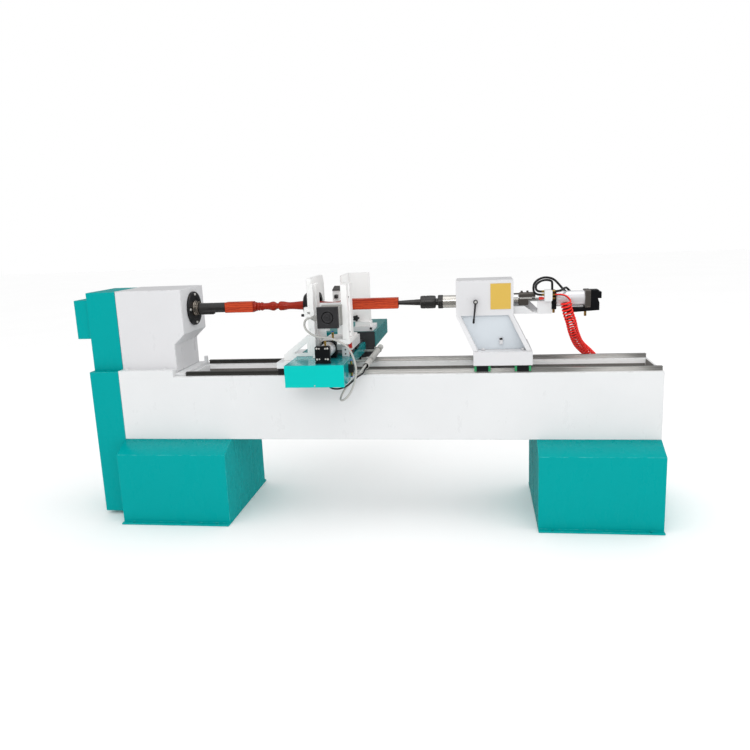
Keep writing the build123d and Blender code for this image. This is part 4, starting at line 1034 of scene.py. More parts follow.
@dataclass(frozen=True)
class TurnedWood:
    """Stained and lacquered hardwood with its grain along the bar.

    Attributes:
        name: The finish's name.
        light: The colour between the grain.
        dark: The colour of the grain.
        turned: The deeper colour where the bar is turned round.
        left: Where the left square end gives way to the turned length.
        right: Where the right square end gives way to it.
    """

    name: str
    light: Colour
    dark: Colour
    turned: Colour
    left: tuple[float, float] = (-0.582, -0.589)
    right: tuple[float, float] = (-0.055, -0.049)

    def mixed(self) -> Finish:
        """Builds the wood's material.

        Returns:
            The material.
        """
        material, w, shader = blank_material(self.name)
        fibre = w.noise(w.place(5.0, 130.0, 130.0), 1.0, 6.0, 0.65)
        figure = w.noise(w.place(1.6, 20.0, 20.0), 1.0, 4.0, 0.6)
        pores = w.ramp(w.noise(w.place(26.0, 520.0, 520.0), 1.0, 2.0), 0.56, 0.7)
        wave = {"Scale": 26.0, "Distortion": 5.0, "Detail": 3.0, "Detail Scale": 1.4}
        wave["Vector"] = w.place(0.6, 1.0, 1.0)
        rings = w.feed(w.node("TexWave", wave_type="RINGS", rings_direction="X"), wave)["Fac"]
        share = w.plus(w.plus(w.times(fibre, 0.5), w.times(figure, 0.6)), w.times(rings, 0.2))
        tone = w.blend(linear(self.light), linear(self.dark), w.ramp(share, 0.4, 0.92))
        tone = w.blend(tone, linear([c * 0.55 for c in self.dark]), w.times(pores, 0.55))
        along = w.part(w.place(), "X")
        turned = w.minus(1.0, w.plus(w.ramp(along, *self.right), w.ramp(along, *self.left)))
        tone = w.blend(tone, linear(self.turned), w.times(turned, 0.72))
        rough = w.plus(w.minus(0.34, w.times(turned, 0.18)), w.times(fibre, 0.2))
        coat = w.plus(0.12, w.times(turned, 0.16))
        normal = w.bump(w.minus(fibre, w.times(pores, 0.5)), 0.12, 0.0006)
        w.feed(shader, {"Base Color": tone, "Roughness": rough, "Coat Weight": coat, "Normal": normal})
        w.feed(shader, {"Specular IOR Level": 0.2, "Coat Roughness": 0.06})
        return material


PRIMER = (160, 162, 162)
WORN_TEAL = (110, 200, 198)
PALE_TEAL = (140, 225, 220)


@dataclass(frozen=True)
class Shelf:
    """Every finish of the machine, mixed once."""

    white: Finish = mix(Paint("white_enamel", (226, 227, 228), 0.3, dust=0.06, shine=0.4))
    casing: Finish = mix(Paint("casing_white_enamel", (217, 217, 219), 0.3, 0.04, 0.5, PRIMER, 0.05, 0.4))
    bright: Finish = mix(Paint("bright_white_enamel", (243, 243, 242), 0.34, 0.04, 0.6, PRIMER, 0.03, 0.4))
    panel: Finish = mix(Paint("blue_white_panel", (208, 215, 221), 0.22, 0.08, 0.4, dust=0.03, shine=0.6))
    # Dark grey that paints shade into the bed's trough: the end plate's inner face and the foot of the rear
    # wall.
    bare: Finish = mix(Paint("trough_painted_shade_grey", (112, 110, 106), 0.5, 0.12, 0.4, dust=0.1))
    teal: Finish = mix(Paint("teal_enamel", (0, 157, 157), 0.28, 0.04, 0.35, WORN_TEAL, 0.0, 0.06))
    gloss: Finish = mix(Paint("glossy_teal_enamel", (0, 146, 150), 0.14, 0.06, 0.35, WORN_TEAL, 0.06, 0.5))
    # A darker copy of the teal paint for the rear housing: painted shade, with more dust.
    deep: Finish = mix(Paint("teal_enamel_painted_shade", (10, 118, 120), 0.28, 0.1, 0.35, (90, 170, 168), 0.14))
    turquoise: Finish = mix(Paint("turquoise_enamel", (0, 190, 183), 0.34, 0.03, 0.35, PALE_TEAL, 0.0, 0.08))
    yellow: Finish = mix(Paint("yellow_plate", (214, 178, 82), 0.34, under=(225, 205, 150)))
    grey: Finish = mix(Paint("grey_enamel", (150, 154, 156), 0.42))
    pale: Finish = mix(Paint("pale_grey_enamel", (216, 218, 218), 0.34))
    black: Finish = mix(Paint("black_enamel", (24, 24, 26), 0.4, under=(110, 110, 112), dust=0.2))
    ground: Finish = mix(Metal("ground_steel", (182, 181, 178), roughness=0.32))
    # Painted reflection with an oil film darkens the rails by place and on their top faces.
    rail: Finish = mix(
        RailOilAndPaintedReflection("rail_steel_oil_and_painted_reflection", (214, 212, 208), Grain.ALONG_X, 0.34, 0.4, metallic=0.45)
    )
    drawn: Finish = mix(Metal("drawn_steel", (188, 190, 192), Grain.ALONG_Y, 0.28))
    chrome: Finish = mix(Metal("turned_chrome", (214, 214, 212), Grain.ROUND_X, 0.16, 0.25))
    quill: Finish = mix(Metal("turned_quill_steel", (232, 228, 220), Grain.ROUND_X, 0.22, 0.3, metallic=0.85))
    forged: Finish = mix(Metal("forged_lever_steel", (112, 112, 114), Grain.ALONG_Z, 0.34))
    graphite: Finish = mix(Metal("graphite_cap", (104, 99, 94), Grain.CAST, 0.4, 0.3, 0.35, 0.7))
    motor: Finish = mix(Paint("motor_black", (44, 44, 46), 0.46, under=(100, 100, 102), dust=0.1, shine=0.5))
    spindle: Finish = mix(Metal("turned_spindle_steel", (168, 158, 146), Grain.ROUND_X, 0.26))
    alloy: Finish = mix(Metal("drawn_alloy", (232, 233, 235), Grain.ALONG_Y, 0.3, 0.25, 0.3, 0.45))
    # Painted sheen: the tail cylinder's barrel is nearly white and barely metallic, its bright reflections
    # painted into its colour.
    barrel_painted_sheen: Finish = mix(
        Metal("barrel_alloy_painted_sheen", (250, 250, 252), Grain.ALONG_X, 0.24, 0.1, 0.3, 0.5, 0.05)
    )
    bolt: Finish = mix(Metal("zinc_bolts", (230, 229, 224), Grain.CAST, 0.3, 0.2, 0.3, 0.45))
    dark: Finish = mix(Metal("dark_steel", (74, 75, 78), Grain.ALONG_X, 0.4, 0.4))
    oxide: Finish = mix(Metal("black_oxide", (78, 77, 76), Grain.ROUND_X, 0.34, 0.5, 0.4, 0.8))
    anodised: Finish = mix(Metal("black_anodised", (38, 39, 42), Grain.ALONG_Y, 0.4, 0.3, 0.4, 0.8))
    brass: Finish = mix(Metal("brass", (214, 176, 96), Grain.CAST, 0.26, 0.25))
    cast: Finish = mix(Metal("cast_grey", (186, 186, 182), Grain.CAST, 0.5, 0.35, 0.2, 0.5))
    wood: Finish = mix(TurnedWood("red_stained_wood", (208, 76, 36), (150, 38, 16), (132, 8, 0)))
    # The hose's darker second colour is painted shade on the faces that look into the coil.
    hose: Finish = mix(Moulding("red_hose", (246, 30, 14), 0.36, relief=0.04, dust=0.0, painted_coil_shade=(74, 10, 8)))
    cable: Finish = mix(Moulding("grey_cable_jacket", (176, 176, 172), 0.42, relief=0.1))
    tube: Finish = mix(Moulding("black_air_tube", (20, 20, 22), 0.3, relief=0.05))
    rubber: Finish = mix(Moulding("black_rubber", (54, 54, 56), 0.5, 500.0, 0.2))
    plastic: Finish = mix(Moulding("black_plastic", (28, 28, 30), 0.42))
    red: Finish = mix(Moulding("red_plastic", (214, 34, 26), 0.32, relief=0.05))
    green: Finish = mix(Moulding("green_end_seal", (40, 150, 92), 0.4))
    blue: Finish = mix(Moulding("blue_collar", (30, 90, 190), 0.35, relief=0.05))
    conduit: Finish = mix(Moulding("grey_conduit", (192, 192, 188), 0.4))


@dataclass
class SubAssembly:
    """A group of pieces that is built and dressed together."""

    shelf: Shelf
    made: list[Piece] = field(default_factory=list)

    def build(self) -> None:
        """Builds the pieces of the group."""
        raise NotImplementedError

    def keep(self, piece: Piece, body: str, slot: str, *nodes: str) -> Piece:
        """Lets a finished piece ride on a body and stand for construction nodes.

        Args:
            piece: The finished piece.
            body: The body that it moves with.
            slot: A material slot name; not used.
            nodes: The nodes that it stands for.

        Returns:
            The same piece.
        """
        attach(piece, body)
        if nodes:
            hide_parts(*nodes)
        self.made.append(piece)
        return piece

    def shell(
        self, node: str, width: float, slot: str, base: Finish, *spots: Spot,
        segments: int = 2, split: bool = False,
    ) -> Piece:
        """Stands a softened and finished copy in a node's place.

        Args:
            node: The construction node.
            width: The rounding of its edges in millimetres.
            slot: A material slot name, handed on to keep.
            base: Its finish in general.
            spots: Other finishes with tests for the faces that take them.
            segments: How many facets make the rounding.
            split: Whether faces round an opening are cut into convex ones.

        Returns:
            The finished copy.
        """
        piece = Bench.soften(Bench.from_node(node, split), width * 0.001, segments)
        Bench.coat(piece, base, *spots)
        return self.keep(piece, NODES[node]["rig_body"], slot, node)

    def refinish(self, node: str, finish: Finish) -> None:
        """Gives a construction node that stays a better finish."""
        NODES[node].data.materials.clear()
        NODES[node].data.materials.append(finish)

    def round_piece(
        self, node: str, outline: Outline, x: float, slot: str, base: Finish, *spots: Spot,
        ring: bool = False,
    ) -> Piece:
        """Stands a finely turned piece on the turning axis in a node's place.

        Args:
            node: The construction node.
            outline: Pairs of distance along the axis and radius, in millimetres.
            x: The station where the outline starts, in millimetres.
            slot: A material slot name, handed on to keep.
            base: Its finish in general.
            spots: Other finishes with tests for the faces that take them.
            ring: Whether the outline closes on itself.

        Returns:
            The finished piece.
        """
        piece = Bench.turned(f"{node}_turned", outline, axis(x), X_WAY, ring=ring)
        Bench.coat(Bench.soften(piece, 0.0009), base, *spots)
        return self.keep(piece, NODES[node]["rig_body"], slot, node)


def socket_screw(radius: float, height: float) -> Piece:
    """Models a socket-headed screw's head at the origin, pointing up.

    Args:
        radius: The head's radius.
        height: The head's height.

    Returns:
        The head.
    """
    head = Bench.bar("socket_screw", radius, ORIGIN, Z_WAY * height, 24)
    Bench.bevel(head, radius * 0.14, 2, facing(Z_WAY))
    low = height * 0.9
    with Bench.editing(head, lambda c, n: n.z > 0.95 and c.length > low and abs(c.x) + abs(c.y) < 1e-5):
        bpy.ops.mesh.inset(thickness=radius * 0.34, depth=0.0)
        bpy.ops.mesh.extrude_region_move(TRANSFORM_OT_translate={"value": (0, 0, -height * 0.55)})
    return Bench.smooth(head)


@dataclass
class BedAndStand(SubAssembly):
    """The bed, its two pedestals, the guide rails and the rack."""

    plug_pitch: float = 0.06
    plug_radius: float = 0.0052
    plug_inset: float = 0.0115
    plug_first: float = 0.03
    plug_margin: float = 0.04
    plug_proud: float = 0.00012
    painted_shade_line: float = 0.786

    def build(self) -> None:
        """Builds the bed and what stands under and lies on it."""
        s = self.shelf
        # Painted light: the trough's rear wall takes the brighter white that lifts the shade in the trough.
        trough = (s.bright, lambda f: self.on_wall(f.centre, f.normal))
        # Painted shade: the inner face of the bed's right end plate takes the dark grey.
        stop = (s.bare, lambda f: f.normal.x < -0.9 and f.centre.x > 1.5 and f.centre.z > 0.7)
        self.paint_trough_shade(self.shell("bed_frame", 4.0, "white_paint", s.white, trough, stop, segments=3))
        self.shell("left_pedestal", 2.5, "teal_paint", s.teal)
        self.shell("right_pedestal", 2.5, "teal_paint", s.teal)
        self.shell("guide_rails", 0.7, "steel", s.rail)
        self.shell("drive_rack", 0.4, "black_metal", s.dark)
        self.shell("air_union", 0.8, "brass", s.brass, (s.white, lambda f: f.size.y > 0.05))
        self.rail_plugs()

    @staticmethod
    def on_wall(centre: Vector, normal: Vector) -> bool:
        """Whether a face is part of the trough's rear wall."""
        return normal.y < -0.9 and centre.y > -0.2 and centre.z > 0.7

    def paint_trough_shade(self, skin: Piece) -> None:
        """Paints shade on the foot of the trough's rear wall, below a line, in the dark grey finish.

        Args:
            skin: The finished bed.
        """
        with Bench.editing(skin, self.on_wall):
            bpy.ops.mesh.bisect(plane_co=(0.0, 0.0, self.painted_shade_line), plane_no=(0.0, 0.0, 1.0))
        for face in skin.data.polygons:
            if self.on_wall(face.center, face.normal) and face.center.z < self.painted_shade_line:
                face.material_index = 2

    def rail_plugs(self) -> None:
        """Plugs the screw holes along both guide rails."""
        low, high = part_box("guide_rails")
        plug = Bench.bar("rail_plug", self.plug_radius, mm(0, 0, -1), ORIGIN, 20)
        Bench.sink(plug, 0.0009, 0.0003, facing(Z_WAY))
        count = int((high.x - low.x - self.plug_margin) / self.plug_pitch)
        along = [low.x + self.plug_first + k * self.plug_pitch for k in range(count + 1)]
        sides = (low.y + self.plug_inset, high.y - self.plug_inset)
        points = [Vector((x, y, high.z + self.plug_proud)) for y in sides for x in along]
        row = Bench.row(plug, "rail_screw_plugs", points, Z_WAY)
        self.keep(Bench.coat(Bench.smooth(row), self.shelf.dark), "base", "black_metal")


@dataclass
class BeltCovers(SubAssembly):
    """The belt cabinet, the cover over it and the small box on its end, with the drive inside."""

    screw_radius: float = 0.0065
    screw_inset: float = 0.028
    screw_rows: ClassVar[dict[str, tuple[float, ...]]] = {
        "lower_belt_cabinet": (0.06, 0.36, 0.64, 0.94),
        "upper_belt_cover": (0.07, 0.93),
    }

    def build(self) -> None:
        """Builds the covers and finishes the drive inside them."""
        s = self.shelf
        self.shell("lower_belt_cabinet", 3.0, "teal_paint", s.teal, split=True)
        self.shell("upper_belt_cover", 4.0, "teal_paint", s.teal, split=True)
        self.shell("end_box", 4.0, "teal_paint", s.teal, split=True)
        self.refinish("drive_belt", s.rubber)
        self.refinish("main_motor", s.grey)
        self.refinish("motor_pulley", s.cast)
        self.refinish("spindle_pulley", s.cast)
        self.refinish("spindle_bearings", s.ground)
        self.cover_screws()

    def cover_screws(self) -> None:
        """Sets the round-headed screws that hold the covers on their left faces."""
        screw = Bench.bar("cover_screw", self.screw_radius, ORIGIN, mm(0, 0, 3.2), 20)
        Bench.bevel(screw, 0.0016, 3, facing(Z_WAY))
        points = []
        for node, shares in self.screw_rows.items():
            low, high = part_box(node)
            sides = (low.y + self.screw_inset, high.y - self.screw_inset)
            points += [Vector((low.x, y, low.z + (high.z - low.z) * k)) for k in shares for y in sides]
        row = Bench.row(screw, "belt_cover_screws", points, -X_WAY)
        self.keep(Bench.coat(Bench.smooth(row), self.shelf.teal), "base", "teal_paint")


@dataclass
class Headstock(SubAssembly):
    """The headstock housing, its bearing cover and what turns in it.

    Attributes:
        riser: Two corners of the plate before the housing's foot, in millimetres.
        riser_screws: Where its screws stand.
        cover_x: The station of the bearing cover's back.
        cover: The cover's outline.
        cover_face: The station of the face that its screws stand on.
        screw_circle: How far they stand from the axis, in metres.
        shaft_x: The station of the shaft's left end.
        shaft: Its outline.
        sleeve_x: The station of the drive sleeve's left end.
        sleeve: Its outline.
        lug: Two corners of the lug under the sleeve, with Y and Z from the axis.
        lug_screws: Where the lug's screws stand.
    """

    riser: tuple[Row, Row] = ((-1331, -477.3, 806), (-1010, -428.2, 849))
    riser_screws: tuple[Row, Row] = ((-1289, -452, 849), (-1066, -452, 849))
    cover_x: float = -944
    cover: Outline = (
        (0, 44.5), (0, 95), (11.5, 95), (14, 92.5), (14, 64), (12, 62), (10, 62), (10, 46), (8.5, 44.5),
    )
    cover_face: float = -930
    screw_circle: float = 0.079
    shaft_x: float = -1552
    shaft: Outline = (
        (0, 0), (0, 28), (40, 30), (300, 40), (612, 40), (612, 43), (624, 43), (627, 40.5), (632, 40.5),
        (634, 38.5), (647, 38.5), (647, 0),
    )
    sleeve_x: float = -905
    sleeve: Outline = (
        (0, 0), (0, 26), (1.5, 27.5), (79, 27.5), (80, 26.6), (84, 26.6), (85, 27.5), (154, 27.5),
        (158, 24), (158, 0),
    )
    lug: tuple[Row, Row] = ((-904.5, -14, -37.5), (-821, 14, -14))
    lug_screws: tuple[Row, Row] = ((-885, -14, -29), (-842, -14, -29))

    def build(self) -> None:
        """Builds the housing and the spindle line."""
        s = self.shelf
        self.front_riser()
        self.shell("headstock_housing", 5.0, "white_paint", s.casing, segments=3)
        self.shell("headstock_base_plate", 2.0, "white_paint", s.white, (s.bolt, lambda f: f.size.x < 0.02))
        self.round_piece("spindle_bearing_cover", self.cover, self.cover_x, "black_metal", s.black, ring=True)
        self.cover_screws()
        self.round_piece("spindle_shaft", self.shaft, self.shaft_x, "steel", s.spindle)
        self.drive_sleeve()

    def cover_screws(self) -> None:
        """Sets four socket screws round the bearing cover."""
        ways = (Z_WAY, Y_WAY, -Z_WAY, -Y_WAY)
        points = [axis(self.cover_face) + way * self.screw_circle for way in ways]
        row = Bench.row(socket_screw(0.0068, 0.006), "bearing_cover_screws", points, X_WAY)
        self.keep(Bench.coat(row, self.shelf.bolt), "base", "steel")

    def front_riser(self) -> None:
        """Stands a plate before the housing's foot, flush with the bed's front, with two painted screws."""
        plate = Bench.block("headstock_front_riser", *at(*self.riser))
        points = at(*self.riser_screws)
        screws = Bench.row(socket_screw(0.0075, 0.006), "headstock_riser_screws", points, Z_WAY)
        whole = Bench.together("headstock_front_riser", Bench.soften(plate, 0.0025), screws)
        self.keep(Bench.coat(whole, self.shelf.white), "base", "white_paint")

    def drive_sleeve(self) -> None:
        """Turns the drive sleeve and sets the lug with its two screws under the first half of it."""
        sleeve = Bench.turned("drive_center_turned", self.sleeve, axis(self.sleeve_x), X_WAY)
        Bench.soften(sleeve, 0.0008)
        lug = Bench.block("sleeve_lug", *by_axis(*self.lug))
        Bench.bevel(lug, 0.006, 3, facing(-Z_WAY))
        points = by_axis(*self.lug_screws)
        screws = Bench.row(socket_screw(0.0042, 0.0012), "sleeve_screws", points, -Y_WAY)
        whole = Bench.together("drive_center_turned", sleeve, Bench.smooth(lug), screws)
        self.keep(Bench.coat(whole, self.shelf.oxide), "spindle", "black_metal", "drive_center")


@dataclass
class Workpiece(SubAssembly):
    """The baluster between the centres: square ends with round shoulders, beads, vase and neck."""

    over: float = 42.0

    @staticmethod
    def wave(x0: float, x1: float, low: float, high: float, steps: int = 8) -> list[tuple[float, float]]:
        """Points of one round bead between two stations."""
        swell = [math.sin(math.pi * k / steps) ** 0.7 for k in range(steps + 1)]
        return [(x0 + (x1 - x0) * k / steps, low + (high - low) * share) for k, share in enumerate(swell)]

    @staticmethod
    def flow(x0: float, r0: float, x1: float, r1: float, steps: int = 8) -> list[tuple[float, float]]:
        """Points of a smooth run from one radius to another."""
        ease = [(1 - math.cos(math.pi * k / steps)) / 2 for k in range(steps + 1)]
        return [(x0 + (x1 - x0) * k / steps, r0 + (r1 - r0) * share) for k, share in enumerate(ease)]

    def outline(self) -> list[tuple[float, float]]:
        """Draws the whole outline from the drive end to the live centre.

        Returns:
            Pairs of station and radius, in millimetres.
        """
        rows = [(-748.0, 0.0), (-748.0, self.over), (-590.0, self.over), (-584.0, 36.0), (-581.0, 30.0)]
        rows += [(-580.0, 25.5), (-570.0, 25.5), (-566.5, 24.5), (-564.5, 19.5)]
        rows += self.wave(-563.5, -547.0, 19.0, 23.6)
        rows += self.wave(-546.0, -529.5, 19.0, 23.8)
        rows += [(-528.0, 19.0), (-520.0, 18.4), (-506.0, 18.4)]
        rows += self.flow(-504.0, 19.0, -472.0, 25.6)
        rows += self.flow(-470.0, 25.6, -446.0, 15.6)
        rows += self.wave(-443.0, -411.0, 16.0, 25.6)[:6]
        rows += self.flow(-420.0, 25.0, -378.0, 19.4)
        rows += self.flow(-376.0, 19.4, -288.0, 24.6, 10)
        rows += [(-284.0, 24.6), (-252.0, 24.6)]
        rows += self.flow(-248.0, 24.4, -130.0, 15.2, 12)
        rows += self.flow(-124.0, 15.0, -96.0, 17.0, 4)
        rows += self.wave(-94.0, -70.0, 17.0, 25.4)
        rows += [(-68.0, 19.6), (-61.0, 19.6), (-59.5, 24.0), (-57.0, 31.0), (-52.0, 38.0)]
        rows += [(-46.0, self.over), (232.0, self.over), (232.0, 0.0)]
        return rows

    def build(self) -> None:
        """Turns the outline and keeps what lies inside the square bar."""
        stock = Bench.bevel(Bench.block("turned_workpiece", *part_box("workpiece")), 0.0012, 2)
        profile = Bench.turned("work_profile", self.outline(), axis(0.0), X_WAY, 64)
        Bench.smooth(Bench.carve(stock, "INTERSECT", profile), 32.0)
        self.keep(Bench.coat(stock, self.shelf.wood), "spindle", "work_wood", "workpiece")


@dataclass
class Saddle(SubAssembly):
    """The saddle over the bed with its drive, cross rails and air cylinder; its guide blocks are built by
    GuideBlocks.
    """

    collar_radius: float = 7.2
    collars: ClassVar[tuple[tuple[Row, Vector], ...]] = (
        ((2, -532, 900), Z_WAY), ((2, -532, 818), -Z_WAY), ((-103, -459, 1042), Z_WAY),
    )
    cap_screw_rows: tuple[Row, ...] = (
        (-141, -639, 930), (-109, -639, 930), (-141, -639, 984), (-109, -639, 984),
    )

    def build(self) -> None:
        """Builds the saddle and what is fixed to it."""
        s = self.shelf
        self.shell("saddle_box", 2.5, "teal_paint", s.gloss, split=True)
        screws = (s.bolt, lambda f: f.size.x < 0.01)
        self.shell("saddle_front_cover", 0.9, "turquoise_paint", s.turquoise, screws)
        self.shell("saddle_side_bracket", 2.0, "white_paint", s.white)
        gearbox = (s.grey, lambda f: 0.65 < f.middle.z < 0.75)
        self.shell("carriage_motor", 1.5, "black_metal", s.black, gearbox)
        self.shell("carriage_pinion", 0.5, "steel", s.ground)
        stop = (s.white, lambda f: f.size.y < 0.012)
        screws = (s.dark, lambda f: f.size.y < 0.005)
        self.shell("cross_rails", 0.6, "steel", s.drawn, stop, screws)
        fittings = (
            (s.alloy, lambda f: f.size.y > 0.1),
            (s.bolt, lambda f: f.size.y < 0.006),
            (s.plastic, lambda f: f.middle.x > -0.02),
            (s.brass, lambda f: f.size.x < 0.016 and f.size.y > 0.008),
        )
        self.shell("slide_cylinder", 1.2, "cylinder_black", s.anodised, *fittings)
        self.shell("conduit_pipe", 0.6, "grey_plastic", s.conduit, (s.cast, lambda f: f.size.y < 0.1))
        self.push_in_collars()
        self.cap_screws()

    def cap_screws(self) -> None:
        """Sets the four small screws between the corner screws of the slide cylinder's front cap."""
        points = at(*self.cap_screw_rows)
        row = Bench.row(socket_screw(0.0042, 0.003), "slide_cylinder_cap_screws", points, -Y_WAY)
        self.keep(Bench.coat(row, self.shelf.bolt), "saddle", "steel")

    def push_in_collars(self) -> None:
        """Sets the blue release collars on the ends of the air fittings."""
        r = self.collar_radius
        outline = [(0, 4), (0, r - 1.5), (1, r - 1), (2, r), (4, r), (5, r - 1), (5, 4)]
        collar = Bench.smooth(Bench.turned("air_collar", outline, ORIGIN, Z_WAY, 24, ring=True))
        moves = [stood(mm(*point), way) for point, way in self.collars]
        row = Bench.copies(collar, "air_release_collars", moves)
        Bench.drop(collar)
        self.keep(Bench.coat(row, self.shelf.blue), "saddle", "black_plastic")


@dataclass
class GuideBlocks(SubAssembly):
    """The ball-guide blocks that run on the rails under the saddle and the tailstock."""

    body_half: float = 30.0
    body_wide: float = 48.0
    body_low: float = 819.2
    body_top: float = 851.0
    seal_long: float = 12.0
    seal_wide: float = 46.0
    seal_low: float = 820.2
    seal_top: float = 848.0
    slot_half: float = 13.0
    slot_top: float = 836.0
    saddle_pitch: float = 314.0
    tail_pitch: float = 206.0
    rail_lines: tuple[float, float] = (-445.0, -87.0)

    def straddling(self, name: str, low: Vector, high: Vector) -> Piece:
        """Makes a block that stands astride a rail.

        Args:
            name: The block's name.
            low: Its lowest corner.
            high: Its highest corner.

        Returns:
            The block, open below for the rail.
        """
        piece = Bench.block(name, low, high)
        slot = Bench.block("rail_slot", mm(-90, -self.slot_half, 790), mm(90, self.slot_half, self.slot_top))
        return Bench.carve(piece, "DIFFERENCE", slot)

    def block_body(self) -> Piece:
        """Models one steel block with a groove along each of its sides.

        Returns:
            The block, at the station of the origin.
        """
        half, side = self.body_half, self.body_wide / 2
        body = self.straddling("guide_block", mm(-half, -side, self.body_low), mm(half, side, self.body_top))
        Bench.sink(body, 0.007, 0.0012, lambda c, n: abs(n.y) > 0.9 and abs(c.y) > 0.02, each=True)
        return Bench.soften(body, 0.001)

    def end_seal(self) -> Piece:
        """Models one end seal with a raised lip on its outer face.

        Returns:
            The seal of a block at the station of the origin.
        """
        start, side = self.body_half, self.seal_wide / 2
        end = start + self.seal_long
        seal = self.straddling("end_seal", mm(start, -side, self.seal_low), mm(end, side, self.seal_top))
        Bench.sink(seal, 0.003, 0.0012, facing(X_WAY), each=True)
        return Bench.soften(seal, 0.0012)

    def build(self) -> None:
        """Sets the blocks and their seals on the rails."""
        s = self.shelf
        body = self.block_body()
        seal = self.end_seal()
        sets = (
            ("saddle_guide_blocks", "saddle", self.saddle_pitch, s.plastic),
            ("tail_guide_blocks", "tailstock", self.tail_pitch, s.green),
        )
        for node, carrier, pitch, end_finish in sets:
            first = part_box(node)[0].x * 1000 + self.body_half + self.seal_long
            places = [mm(first + k * pitch, y, 0) for k in (0, 1) for y in self.rail_lines]
            kinds = (
                (body, "blocks", (0.0,), "black_metal", s.dark),
                (seal, "seals", (0.0, math.pi), "black_plastic", end_finish),
            )
            for pattern, name, turns, slot, finish in kinds:
                moves = [Matrix.Translation(p) @ Matrix.Rotation(t, 4, "Z") for p in places for t in turns]
                whole = Bench.copies(pattern, f"{node}_{name}", moves)
                self.keep(Bench.coat(whole, finish), carrier, slot, node)
        Bench.drop(body)
        Bench.drop(seal)


@dataclass
class SteadyRest(SubAssembly):
    """The plate and ring that carry the work behind the tool."""

    ring_x: float = -289.5
    ring: Outline = (
        (0, 46), (0, 58), (2, 60), (22, 78), (24, 80), (49.2, 80), (49.2, 70), (84.5, 70), (86.5, 68),
        (86.5, 48), (84.5, 46),
    )

    def build(self) -> None:
        """Builds the plate, its ring and its brackets."""
        s = self.shelf
        self.shell("steady_plate", 2.5, "white_paint", s.bright)
        self.round_piece("steady_ring", self.ring, self.ring_x, "black_metal", s.black, ring=True)
        self.shell("steady_brackets", 1.6, "white_paint", s.bright, (s.plastic, lambda f: f.size.x < 0.02))


@dataclass
class RearPost(SubAssembly):
    """The rear housing with its hanging apron and the second tool arm.

    Attributes:
        thick: How thick the apron is.
        fold: How deep its folds are.
        bend: How far its foot leans out.
        bend_from: How far down the lean starts, as a share of its drop.
    """

    thick: float = 0.003
    fold: float = 0.0012
    bend: float = 0.0135
    bend_from: float = 0.46

    def build(self) -> None:
        """Builds the housing, the apron and the arm."""
        s = self.shelf
        ledge = (s.white, lambda f: f.size.z < 0.03)
        screws = (s.dark, lambda f: f.size.x < 0.02)
        self.shell("rear_housing", 3.0, "teal_paint", s.deep, ledge, screws)
        small = (s.plastic, lambda f: f.size.z < 0.03 or f.size.x < 0.02)
        self.shell("rear_tool_arm", 2.0, "white_paint", s.bright, small)
        self.shell("star_knob", 2.0, "knob_plastic", s.plastic, segments=3)
        self.apron()

    def apron(self) -> None:
        """Hangs the rubber apron, bent a little out at its foot."""
        low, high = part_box("rubber_apron")
        wide = high.x - low.x
        tall = high.z - low.z
        Bench.clear()
        bpy.ops.mesh.primitive_grid_add(x_subdivisions=24, y_subdivisions=32, size=1.0)
        piece = Bench.named("hanging_rubber_apron")
        for v in piece.data.vertices:
            down = 0.5 - v.co.y
            across = v.co.x + 0.5
            lean = max(0.0, down - self.bend_from) ** 1.3 * self.bend
            ripple = self.fold * down * math.sin(9.5 * across + 2.2 * down)
            v.co = Vector((low.x + across * wide, high.y - 0.0032 - lean - ripple, high.z - down * tall))
        Bench.finish_by(piece, "SOLIDIFY", thickness=self.thick, offset=0.0)
        with Bench.editing(piece):
            bpy.ops.mesh.normals_make_consistent(inside=False)
        Bench.coat(Bench.smooth(piece), self.shelf.rubber)
        self.keep(piece, "saddle", "belt_rubber", "rubber_apron")


